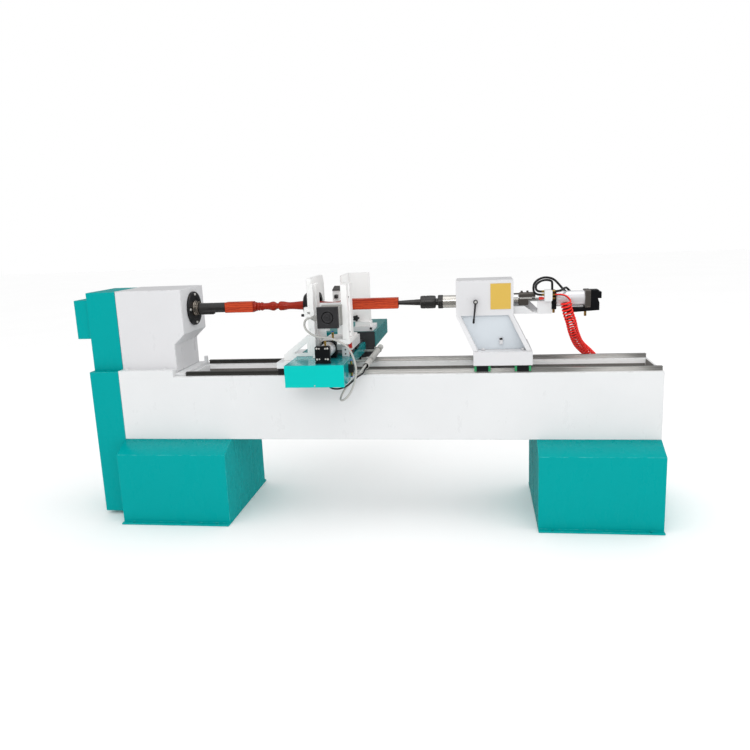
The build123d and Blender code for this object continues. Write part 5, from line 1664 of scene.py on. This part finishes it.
@dataclass
class CrossSlide(SubAssembly):
    """The cross slide with the tool tower, feed motor and tool.

    Attributes:
        motor_x: The station of the feed motor's middle.
        motor_z: Its height.
        motor_half: Half its width.
        motor_ends: Where its bell starts, its cast body starts and ends, and its face ends.
        screw_reach: How far its screws stand from its middle.
        rings: The outline of the rings on its bell.
        hood: Two corners of its cable hood.
        gland_at: Where the gland starts.
        gland: The gland's outline.
        wiper: Two corners of the table's red wiper.
    """

    motor_x: float = -86
    motor_z: float = 1142
    motor_half: float = 55
    motor_ends: tuple[float, float, float, float] = (-652, -630, -537, -523)
    screw_reach: float = 45
    rings: Outline = (
        (0, 0), (0, 37), (1.4, 37), (2.2, 36), (2.2, 32), (1.0, 31), (1.0, 26), (3.2, 25), (3.2, 20),
        (1.6, 19), (1.6, 12), (4.4, 11), (5.0, 10), (5.0, 4), (3.5, 3), (3.5, 0),
    )
    hood: tuple[Row, Row] = ((-172, -609, 1121), (-127, -583, 1151))
    gland_at: Row = (-172, -596, 1136)
    gland: Outline = ((0, 0), (0, 11), (4, 11), (5, 9.5), (9, 9.5), (11, 7.5), (11, 0))
    wiper: tuple[Row, Row] = ((-32, -405.5, 946), (-12, -402, 978))

    def build(self) -> None:
        """Builds the table, the tower and the tool feed."""
        s = self.shelf
        block = (s.dark, lambda f: f.size.z < 0.03)
        wiper = (s.red, lambda f: f.size.z < 0.03 and f.centre.y < -0.3965 and f.middle.x > -0.06)
        self.shell("cross_slide_table", 1.5, "grey_metal", s.pale, block, wiper)
        self.table_wiper()
        self.shell("tool_tower", 2.2, "white_paint", s.bright, (s.plastic, lambda f: f.size.x < 0.008))
        self.feed_motor()
        self.shell("motor_plate", 1.6, "grey_metal", s.pale, split=True)
        self.shell("slide_cylinder_rod", 0.8, "polished_steel", s.chrome)
        self.shell("feed_screw", 0.5, "steel", s.drawn)
        self.shell("tool_slide", 1.2, "grey_metal", s.cast, (s.dark, lambda f: f.size.z < 0.02))
        self.shell("turning_tool", 0.5, "steel", s.dark)

    def table_wiper(self) -> None:
        """Sets the red wiper plate on the table's front end."""
        wiper = Bench.block("red_table_wiper", *at(*self.wiper))
        Bench.soften(Bench.sink(wiper, 0.003, 0.0008, facing(-Y_WAY)), 0.0008)
        self.keep(Bench.coat(wiper, self.shelf.red), "cross_slide", "red_plastic")

    def square(self, name: str, back: float, front: float, half: float) -> Piece:
        """Adds a square block of the feed motor between two depths, by half its width."""
        x, z = self.motor_x, self.motor_z
        return Bench.block(name, mm(x - half, back, z - half), mm(x + half, front, z + half))

    def feed_motor(self) -> None:
        """Models the square feed motor: black ringed end bell, cast body and face, cable hood and gland."""
        x, z, half = self.motor_x, self.motor_z, self.motor_half
        back, start, end, front = self.motor_ends
        bell = Bench.bevel(self.square("feed_motor_bell", back, start, half), 0.005, 3)
        boss = Bench.turned("feed_motor_rings", self.rings, mm(x, back + 1, z), -Y_WAY, 48)
        body = self.square("feed_motor_cast", start, end, half - 9)
        Bench.sink(body, 0.014, 0.003, lambda c, n: abs(n.y) < 0.1, each=True)
        face = self.square("feed_motor_face", end, front, half - 2)
        hood = Bench.bevel(Bench.block("feed_motor_hood", *at(*self.hood)), 0.006, 3, facing(-X_WAY))
        nose = Bench.turned("feed_motor_gland", self.gland, mm(*self.gland_at), -X_WAY, 32)
        reach = (-self.screw_reach, self.screw_reach)
        points = [mm(x + a, back, z + b) for a in reach for b in reach]
        screws = Bench.row(socket_screw(0.0042, 0.0022), "feed_motor_screws", points, -Y_WAY)
        dark = [Bench.soften(p, 0.0012) for p in (bell, boss)] + [screws]
        whole = Bench.coat(Bench.together("feed_motor_bell", *dark), self.shelf.motor)
        pale = [Bench.soften(p, 0.0012) for p in (body, face, hood, nose)]
        elbow = Bench.coat(Bench.together("feed_motor_cast", *pale), self.shelf.cast)
        self.keep(whole, "cross_slide", "black_metal", "feed_motor")
        self.keep(elbow, "cross_slide", "grey_metal", "feed_motor")


@dataclass
class Tailstock(SubAssembly):
    """The tailstock with its quill, live centre, air cylinder and hand valve.

    Attributes:
        quill_x: The station of the quill's left end.
        quill: Its outline.
        center_x: The station of the live centre's tip.
        center: Its outline.
        cheek: Two corners of the bracket's rear cheek.
        cheek_edge: Where its slanting edge starts.
        cheek_slope: The way that edge faces.
        catch: Two corners of the panel's catch.
        coupling: The coupling's blocks: name, two corners by the axis, rounding, facets and rounded face.
        bolts: Where the coupling's bolts stand, by the axis.
        rod_x: The station of the piston rod's left end.
        rod: Its outline.
        eye_at: Where the clamp lever's eye starts.
        eye: Its outline.
        lever: The middle of the lever's root and of its tip.
    """

    quill_x: float = 437
    quill: Outline = (
        (0, 0), (0, 19), (11, 19), (11, 34), (13.5, 36.5), (35, 36.5), (38, 34.5), (38, 33.5), (284, 33.5),
        (284, 12), (437, 12), (437, 0),
    )
    center_x: float = 231
    center: Outline = (
        (0, 0), (0, 10), (1.5, 11), (118, 16.5), (122, 18), (122, 31), (126, 34), (146, 35), (148, 33.8),
        (153, 33.8), (155, 35), (178, 35), (198, 34), (204, 31), (204, 19), (205.7, 19), (205.7, 0),
    )
    cheek: tuple[Row, Row] = ((844.5, -229, 1100), (990, -223, 1170))
    cheek_edge: Row = (920, -226, 1170)
    cheek_slope: Row = (0.69, 0.0, 0.724)
    catch: tuple[Row, Row] = ((771.5, -395, 973), (786.5, -390, 984))
    coupling: ClassVar[tuple[tuple[str, Row, Row, float, int, Vector], ...]] = (
        ("rod_coupling_split", (876, -24, 14), (962, 24, 38), 0.009, 4, Z_WAY),
        ("rod_coupling_tongue", (850, -9, 28), (878, 9, 35), 0.003, 3, -X_WAY),
        ("rod_coupling_lower", (874.2, -24, -28), (926, 24, 6), 0.006, 3, -Z_WAY),
        ("rod_coupling_shim", (880, -22, 5), (944, 22, 15), 0.004, 3, X_WAY),
    )
    bolts: tuple[Row, Row] = ((892, 0, 38), (922, 0, 38))
    rod_x: float = 924
    rod: Outline = ((0, 0), (0, 10), (198, 10), (198, 35), (216, 35), (216, 0))
    eye_at: Row = (649, -372.4, 1175)
    eye: Outline = ((0, 0), (0, 9), (17, 9), (20, 12), (28, 12), (30, 10), (30, 7), (28, 6), (28, 0))
    lever: tuple[Row, Row] = ((648, -396, 1165), (637, -396, 1063))

    def build(self) -> None:
        """Builds the tailstock and what it carries."""
        s = self.shelf
        self.shell("tailstock_base", 2.5, "white_paint", s.casing)
        inside = (s.panel, lambda f: f.normal.y < -0.7 and -0.392 < f.centre.y < -0.35 and f.centre.z < 1.1)
        latch = (s.casing, lambda f: f.size.x < 0.02)
        self.shell("tailstock_body", 3.0, "white_paint", s.casing, inside, latch, split=True)
        self.latch_slot()
        self.shell("blank_plate", 0.5, "yellow_plate", s.yellow)
        collar = (s.oxide, lambda f: f.centre.x < 0.4752)
        self.round_piece("quill", self.quill, self.quill_x, "polished_steel", s.quill, collar)
        self.round_piece("live_center", self.center, self.center_x, "black_metal", s.oxide)
        self.clamp_lever()
        self.rod_coupling()
        fittings = (
            (s.barrel_painted_sheen, lambda f: 0.14 < f.size.x < 0.15),
            (s.graphite, lambda f: abs(f.middle.x - 1.228) < 0.004 and f.size.z > 0.05),
            (s.brass, lambda f: f.size.x < 0.021),
        )
        self.shell("tail_cylinder", 1.4, "cylinder_black", s.anodised, *fittings)
        self.shell("cylinder_bracket", 1.6, "white_paint", s.white)
        self.rear_gusset()
        self.shell("hand_valve", 1.0, "white_paint", s.white, (s.brass, lambda f: f.size.x < 0.02))
        self.shell("valve_button", 1.2, "red_plastic", s.red)

    def rear_gusset(self) -> None:
        """Raises the bracket's rear cheek with a slanting edge behind the coupling."""
        cheek = Bench.block("bracket_rear_cheek", *at(*self.cheek))
        slant = {"plane_co": mm(*self.cheek_edge), "plane_no": self.cheek_slope}
        with Bench.editing(cheek):
            bpy.ops.mesh.bisect(use_fill=True, clear_outer=True, **slant)
        Bench.coat(Bench.soften(cheek, 0.0012), self.shelf.casing)
        self.keep(cheek, "tailstock", "white_paint")

    def latch_slot(self) -> None:
        """Sets the dark catch into the upper end of the panel's white latch."""
        catch = Bench.block("panel_latch_catch", *at(*self.catch))
        Bench.soften(Bench.sink(catch, 0.0016, 0.0012, facing(-Y_WAY)), 0.0006)
        self.keep(Bench.coat(catch, self.shelf.plastic), "tailstock", "black_plastic")

    def rod_coupling(self) -> None:
        """Models the split coupling on the piston rod: clamp bar, tongue, bolts, shim, lower half and rod."""
        parts = []
        for name, low, high, offset, segments, way in self.coupling:
            block = Bench.bevel(Bench.block(name, *by_axis(low, high)), offset, segments, facing(way))
            parts.append(Bench.soften(block, 0.0012))
        points = by_axis(*self.bolts)
        parts.append(Bench.row(socket_screw(0.006, 0.009), "rod_coupling_bolts", points, Z_WAY))
        steel = (self.shelf.bolt, lambda f: abs(f.size.x - 0.064) < 0.001)
        whole = Bench.coat(Bench.together("rod_coupling_split", *parts), self.shelf.graphite, steel)
        carrier = NODES["rod_coupling"]["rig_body"]
        self.keep(whole, carrier, "black_metal", "rod_coupling")
        bar = Bench.soften(Bench.turned("piston_rod", self.rod, axis(self.rod_x), X_WAY, 40), 0.0006)
        self.keep(Bench.coat(bar, self.shelf.chrome), carrier, "polished_steel", "rod_coupling")

    def clamp_lever(self) -> None:
        """Models the quill's clamp lever: eye, tapered arm and black grip."""
        hub = Bench.turned("clamp_lever_eye", self.eye, mm(*self.eye_at), -Y_WAY, 32)
        root, tip = at(*self.lever)
        way = tip - root
        far = way.length * 1000
        neck, end = far * 0.74, far * 0.76
        arm = [(0, 0), (0, 5), (2, 6), (far * 0.72, 4.4), (neck, 3.6), (end, 3.6), (end, 0)]
        bar = Bench.turned("clamp_lever_arm", arm, root, way, 24)
        hold = [(neck, 0), (neck, 4.4), (far * 0.78, 5.4), (far * 0.95, 6), (far, 4.5), (far + 1, 0)]
        grip = Bench.turned("clamp_lever_grip", hold, root, way, 24)
        lever = Bench.together("clamp_lever_turned", *[Bench.soften(p, 0.0008) for p in (hub, bar, grip)])
        black = (self.shelf.plastic, lambda f: f.middle.z < 1.085)
        centre = (self.shelf.bolt, lambda f: f.normal.y < -0.9 and abs(f.centre.y + 0.4004) < 0.0003)
        Bench.coat(lever, self.shelf.forged, black, centre)
        self.keep(lever, "clamp_lever", "steel", "clamp_lever")


@dataclass
class Cords(SubAssembly):
    """The cables, the air tubes and the spiral hose.

    Attributes:
        cable_radius: The radius of the motor cable, in metres.
        cable: Its route, in millimetres from the bed's front right corner as all the routes are.
        black_radius: The radius of the black cable.
        black: Its route.
        tube_radius: The radius of the air tubes.
        tubes: Their routes by name.
        hose_radius: The radius of the hose.
        hose_start: Its straight start at the valve.
        hose_spine: The line that it winds round.
        hose_end: Its straight end at the union.
        coil_radius: The radius of its turns.
        coil_turns: How many turns it has.
        coil_points: How many points make a turn.
    """

    cable_radius: float = 0.0056
    cable: tuple[Row, ...] = (
        (-1765.3, -119, 1136), (-1795.3, -119, 1136), (-1805.3, -121, 1088), (-1767, -134, 1055),
        (-1728, -148, 1041), (-1682, -158, 1040), (-1634, -165, 1029), (-1592, -165, 1007),
        (-1563, -158, 974), (-1546, -152, 925), (-1537, -148, 868), (-1546, -150, 815),
        (-1564, -157, 765), (-1594, -160, 722), (-1630, -138, 703), (-1636, -96, 716),
        (-1614, -80, 757), (-1581, -70, 790), (-1552, -50, 818), (-1530, -40, 843),
        (-1512, -22, 866), (-1512, 46, 866),
    )
    black_radius: float = 0.0046
    black: tuple[Row, ...] = (
        (-1706, -112, 826), (-1706, -112, 790), (-1682, -108, 764), (-1645, -103, 759), (-1611, -97, 768),
        (-1582, -86, 786), (-1552, -66, 814), (-1520, -40, 828), (-1512, -10, 854), (-1512, 44, 854),
    )
    tube_radius: float = 0.006
    tubes: ClassVar[dict[str, tuple[Row, ...]]] = {
        "outer_air_tube": (
            (-592.3, 145, 1197), (-631, 145, 1197), (-636, 149, 1251), (-608, 165, 1277), (-570, 181, 1286),
            (-527, 204, 1275), (-495, 233, 1242), (-466, 258, 1208), (-430, 267, 1180), (-395, 267, 1168),
            (-364.3, 267, 1168),
        ),
        "inner_air_tube": (
            (-592.3, 145, 1214), (-619, 145, 1214), (-623, 153, 1247), (-600, 167, 1265), (-569, 182, 1272),
            (-533, 215, 1263), (-526, 267, 1241), (-526, 267, 1204.3),
        ),
        "third_air_tube": (
            (-522.7, 145, 1214), (-498, 145, 1214), (-477, 166, 1226), (-462, 206, 1226), (-452, 252, 1220),
            (-430, 279, 1198), (-402, 283, 1168), (-364.3, 283, 1168),
        ),
    }
    hose_radius: float = 0.005
    hose_start: tuple[Row, ...] = (
        (-522.7, 145, 1196), (-511.9, 145, 1196), (-490, 141, 1196.5), (-463, 134, 1187),
    )
    hose_spine: tuple[Row, ...] = (
        (-471, 126, 1160), (-464, 132, 1120), (-452, 147, 1084), (-437, 172, 1050), (-423, 215, 1002),
        (-405, 265, 961), (-382, 325, 915), (-355, 380, 881), (-306, 446, 834), (-271, 480, 796),
        (-255, 494, 752),
    )
    hose_end: tuple[Row, ...] = ((-245, 496, 712), (-245, 496, 700), (-245, 496, 689.2))
    coil_radius: float = 0.024
    coil_turns: int = 28
    coil_points: int = 16

    @staticmethod
    def line(name: str, points: Sequence[Vector], radius: float) -> Piece:
        """Lays one smooth curve along a route.

        Args:
            name: The cord's name.
            points: The route's points.
            radius: Half the cord's diameter, or 0 for a bare line.

        Returns:
            The curve.
        """
        data = bpy.data.curves.new(name, "CURVE")
        data.dimensions = "3D"
        spline = data.splines.new("NURBS")
        spline.points.add(len(points) - 1)
        for knot, point in zip(spline.points, points):
            knot.co = (*point, 1.0)
        spline.order_u = 3
        spline.use_endpoint_u = True
        spline.use_smooth = True
        data.resolution_u = 8 if len(points) < 60 else 3
        data.bevel_depth = radius
        data.bevel_resolution = 3
        data.use_fill_caps = True
        return linked(name, data)

    @staticmethod
    def points_of(piece: Piece) -> list[Vector]:
        """Reads the points that a curve's own spline runs through.

        Args:
            piece: The curve.

        Returns:
            The points in their order.
        """
        bare = bpy.data.objects.new("bare_line", piece.data.copy())
        bare.data.bevel_depth = 0.0
        mesh = bpy.data.meshes.new_from_object(bare)
        points = [v.co.copy() for v in mesh.vertices]
        bpy.data.meshes.remove(mesh)
        bpy.data.objects.remove(bare)
        return points

    @staticmethod
    def length(points: Sequence[Vector]) -> float:
        """The length of a line through points."""
        return sum((b - a).length for a, b in zip(points, points[1:]))

    @staticmethod
    def tube_mesh(piece: Piece) -> Piece:
        """Makes a curve a mesh tube.

        Args:
            piece: The curve.

        Returns:
            The tube.
        """
        Bench.hold(piece)
        bpy.ops.object.convert(target="MESH")
        return Bench.smooth(bpy.context.object, 60.0)

    def blended(
        self, piece: Piece, still: str, moving: str, start: Row, end: Row, slot: str, node: str
    ) -> None:
        """Bakes a tube's place into its mesh and lets it stand for its node.

        Args:
            piece: The tube.
            still: The body at its first end; not used.
            moving: The body at its other end; not used.
            start: Where it would start to follow the moving body; not used.
            end: Where it would follow it wholly; not used.
            slot: A material slot name; not used.
            node: The node that it stands for.
        """
        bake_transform(piece)
        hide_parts(node)
        self.made.append(piece)

    def motor_cable(self) -> None:
        """The feed motor's grey cable, from the elbow round under the saddle into the conduit."""
        route = bed(*self.cable)
        curve = self.line("feed_motor_cable", route, self.cable_radius)
        path = self.points_of(curve)
        piece = Bench.coat(self.tube_mesh(curve), self.shelf.cable)
        self.blended(piece, "saddle", "cross_slide", (0, 0, 1.0), (0, 0, 1.12), "grey_plastic", "motor_cable")

    def black_cable(self) -> None:
        """The second cable from under the saddle into the conduit."""
        route = bed(*self.black)
        curve = self.line("saddle_black_cable", route, self.black_radius)
        curve.data.materials.append(self.shelf.tube)
        self.keep(curve, "saddle", "black_plastic", "black_cable")
        self.length(self.points_of(curve))

    def air_tubes(self) -> None:
        """The three black air tubes that loop from the hand valve to the cylinder."""
        for name, rows in self.tubes.items():
            route = bed(*rows)
            curve = self.line(name, route, self.tube_radius)
            curve.data.materials.append(self.shelf.tube)
            self.keep(curve, "tailstock", "black_plastic", "air_tubes")
            self.length(self.points_of(curve))

    def spiral_hose(self) -> None:
        """The red spiral hose from the hand valve down to the union behind the bed."""
        guide = self.line("hose_guide", bed(*self.hose_spine), 0.0)
        spine = self.points_of(guide)
        Bench.drop(guide)
        route = bed(*self.hose_start)
        coil = self.wound(spine)
        onward = coil[-1] - coil[-2]
        route += coil + [coil[-1] + onward * 0.9 - Z_WAY * 0.005, coil[-1] + onward * 1.3 - Z_WAY * 0.018]
        route += bed(*self.hose_end)
        curve = self.line("red_spiral_hose", route, self.hose_radius)
        path = self.points_of(curve)
        piece = Bench.coat(self.tube_mesh(curve), self.shelf.hose)
        self.note_coil_shade(piece, spine)
        self.blended(piece, "base", "tailstock", (0, 0, 0.7), (0, 0, 0.98), "red_plastic", "spiral_hose")

    def note_coil_shade(self, piece: Piece, spine: Sequence[Vector]) -> None:
        """Notes how far each face of a coil looks inwards or along it, as the share of painted shade where
        its turns shade each other.

        Args:
            piece: The coil's mesh.
            spine: The points of the line that it winds round.
        """
        tree = KDTree(len(spine))
        for k, point in enumerate(spine):
            tree.insert(point, k)
        tree.balance()
        mesh = piece.data
        coil_shade_shares = []
        for face in mesh.polygons:
            out = (face.center - tree.find(face.center)[0]).normalized()
            coil_shade_shares.append(0.5 - 0.5 * face.normal.dot(out))
        mesh.attributes.new("painted_coil_shade", "FLOAT", "FACE").data.foreach_set("value", coil_shade_shares)

    def wound(self, spine: Sequence[Vector]) -> list[Vector]:
        """Winds a helix round a line, with turns that look evenly spaced from the front.

        Args:
            spine: The points of the line.

        Returns:
            The helix' points.
        """
        far = [0.0]
        for a, b in zip(spine, spine[1:]):
            far.append(far[-1] + math.hypot(b.x - a.x, b.z - a.z))
        count = self.coil_turns * self.coil_points
        side = X_WAY.copy()
        made = []
        k = 0
        for step in range(count + 1):
            reach = far[-1] * step / count
            while k < len(far) - 2 and far[k + 1] < reach:
                k += 1
            way = (spine[k + 1] - spine[k]).normalized()
            here = spine[k].lerp(spine[k + 1], (reach - far[k]) / (far[k + 1] - far[k]))
            side = (side - way * side.dot(way)).normalized()
            turn = 2 * math.pi * step / self.coil_points
            made.append(here + (side * math.cos(turn) + way.cross(side) * math.sin(turn)) * self.coil_radius)
        return made

    def build(self) -> None:
        """Lays every cord."""
        self.motor_cable()
        self.black_cable()
        self.air_tubes()
        self.spiral_hose()


@dataclass
class Studio:
    """The floor, the light and the camera.

    Attributes:
        place: Where the camera stands.
        yaw: Its turn about the upright axis in degrees.
        pitch: Its tilt in degrees.
        roll: Its lean in degrees.
        lens: Its focal length on a film 36 mm wide.
        aim: What every lamp faces.
    """

    place: Row = (0.6546, -4.10064, 1.56895)
    yaw: float = 8.43568
    pitch: float = -11.69481
    roll: float = 2.38297
    lens: float = 33.889
    aim: Row = (0.0, -0.3, 0.8)

    def camera(self) -> None:
        """Stands the camera at the photograph's viewing angle."""
        turn = Matrix.Rotation(math.radians(self.yaw), 3, "Z")
        turn = turn @ Matrix.Rotation(math.radians(self.pitch), 3, "X")
        turn = turn @ Matrix.Rotation(math.radians(self.roll), 3, "Y")
        view = Matrix((turn @ X_WAY, turn @ Z_WAY, -(turn @ Y_WAY))).transposed()
        data = bpy.data.cameras.new("view")
        data.lens = self.lens
        data.sensor_width = 36.0
        data.sensor_fit = "HORIZONTAL"
        data.clip_end = 200.0
        piece = linked("view", data)
        piece.matrix_world = Matrix.Translation(self.place) @ view.to_4x4()
        bpy.context.scene.camera = piece

    def floor(self) -> None:
        """Lays a plain pale floor."""
        Bench.clear()
        bpy.ops.mesh.primitive_plane_add(size=60.0, location=ORIGIN)
        piece = Bench.named("pale_floor")
        material, w, shader = blank_material("pale_floor")
        tone = w.blend(linear((251, 251, 251)), linear((255, 255, 255)), w.noise(w.place(), 0.7, 4.0))
        w.feed(shader, {"Base Color": tone, "Roughness": 0.9, "Specular IOR Level": 0.0})
        piece.data.materials.append(material)
        piece.visible_glossy = False

    def lamp(self, name: str, place: Row, size: tuple[float, float], power: float) -> None:
        """Hangs one soft lamp.

        Args:
            name: The lamp's name.
            place: Where it hangs.
            size: Its width and height.
            power: Its power in watts.
        """
        data = bpy.data.lights.new(name, "AREA")
        data.shape = "RECTANGLE"
        data.size, data.size_y = size
        data.energy = power
        piece = linked(name, data)
        piece.location = place
        piece.rotation_euler = (Vector(self.aim) - Vector(place)).to_track_quat("-Z", "Y").to_euler()

    def build(self) -> None:
        """Sets up the whole studio."""
        self.camera()
        self.floor()
        self.world()
        bpy.context.scene.view_settings.view_transform = "Standard"
        self.lamp("front_softbox", (-0.8, -6.0, 3.6), (4.0, 2.5), 24.0)
        self.lamp("key_lamp", (0.2, -4.6, 3.4), (1.2, 0.8), 14.0)
        self.lamp("top_softbox", (0.5, -1.0, 5.5), (5.0, 3.0), 34.0)
        self.lamp("right_softbox", (12.0, -2.2, 3.0), (6.0, 6.0), 165.0)

    def world(self) -> None:
        """Lights the scene evenly, while polished faces mirror a darker hall with a pale ceiling."""
        world = bpy.data.worlds.new("pale_studio")
        world.use_nodes = True
        w = Wiring(world.node_tree)
        up = w.part(w.node("TexCoord").outputs["Generated"], "Z")
        hall = w.blend((0.16, 0.16, 0.16, 1.0), (0.56, 0.57, 0.59, 1.0), w.ramp(up, 0.0, 0.85))
        glossy = w.node("LightPath").outputs["Is Glossy Ray"]
        seen = w.blend((1.0, 1.0, 1.0, 1.0), hall, glossy)
        w.plug(world.node_tree.nodes["Background"].inputs["Color"], seen)
        bpy.context.scene.world = world


def main() -> None:
    """Builds every sub-assembly in order and reports its pieces."""
    logging.basicConfig(level=logging.INFO, format="%(name)s: %(message)s")
    Studio().build()
    shelf = Shelf()
    groups: list[SubAssembly] = [Cords(shelf), BedAndStand(shelf), BeltCovers(shelf), Headstock(shelf)]
    groups += [Workpiece(shelf), Saddle(shelf), GuideBlocks(shelf), SteadyRest(shelf), RearPost(shelf)]
    groups += [CrossSlide(shelf), Tailstock(shelf)]
    for group in groups:
        group.build()
        for piece in group.made:
            LOG.info("%s: %s", type(group).__name__, piece.name)


if __name__ == "__main__":
    main()
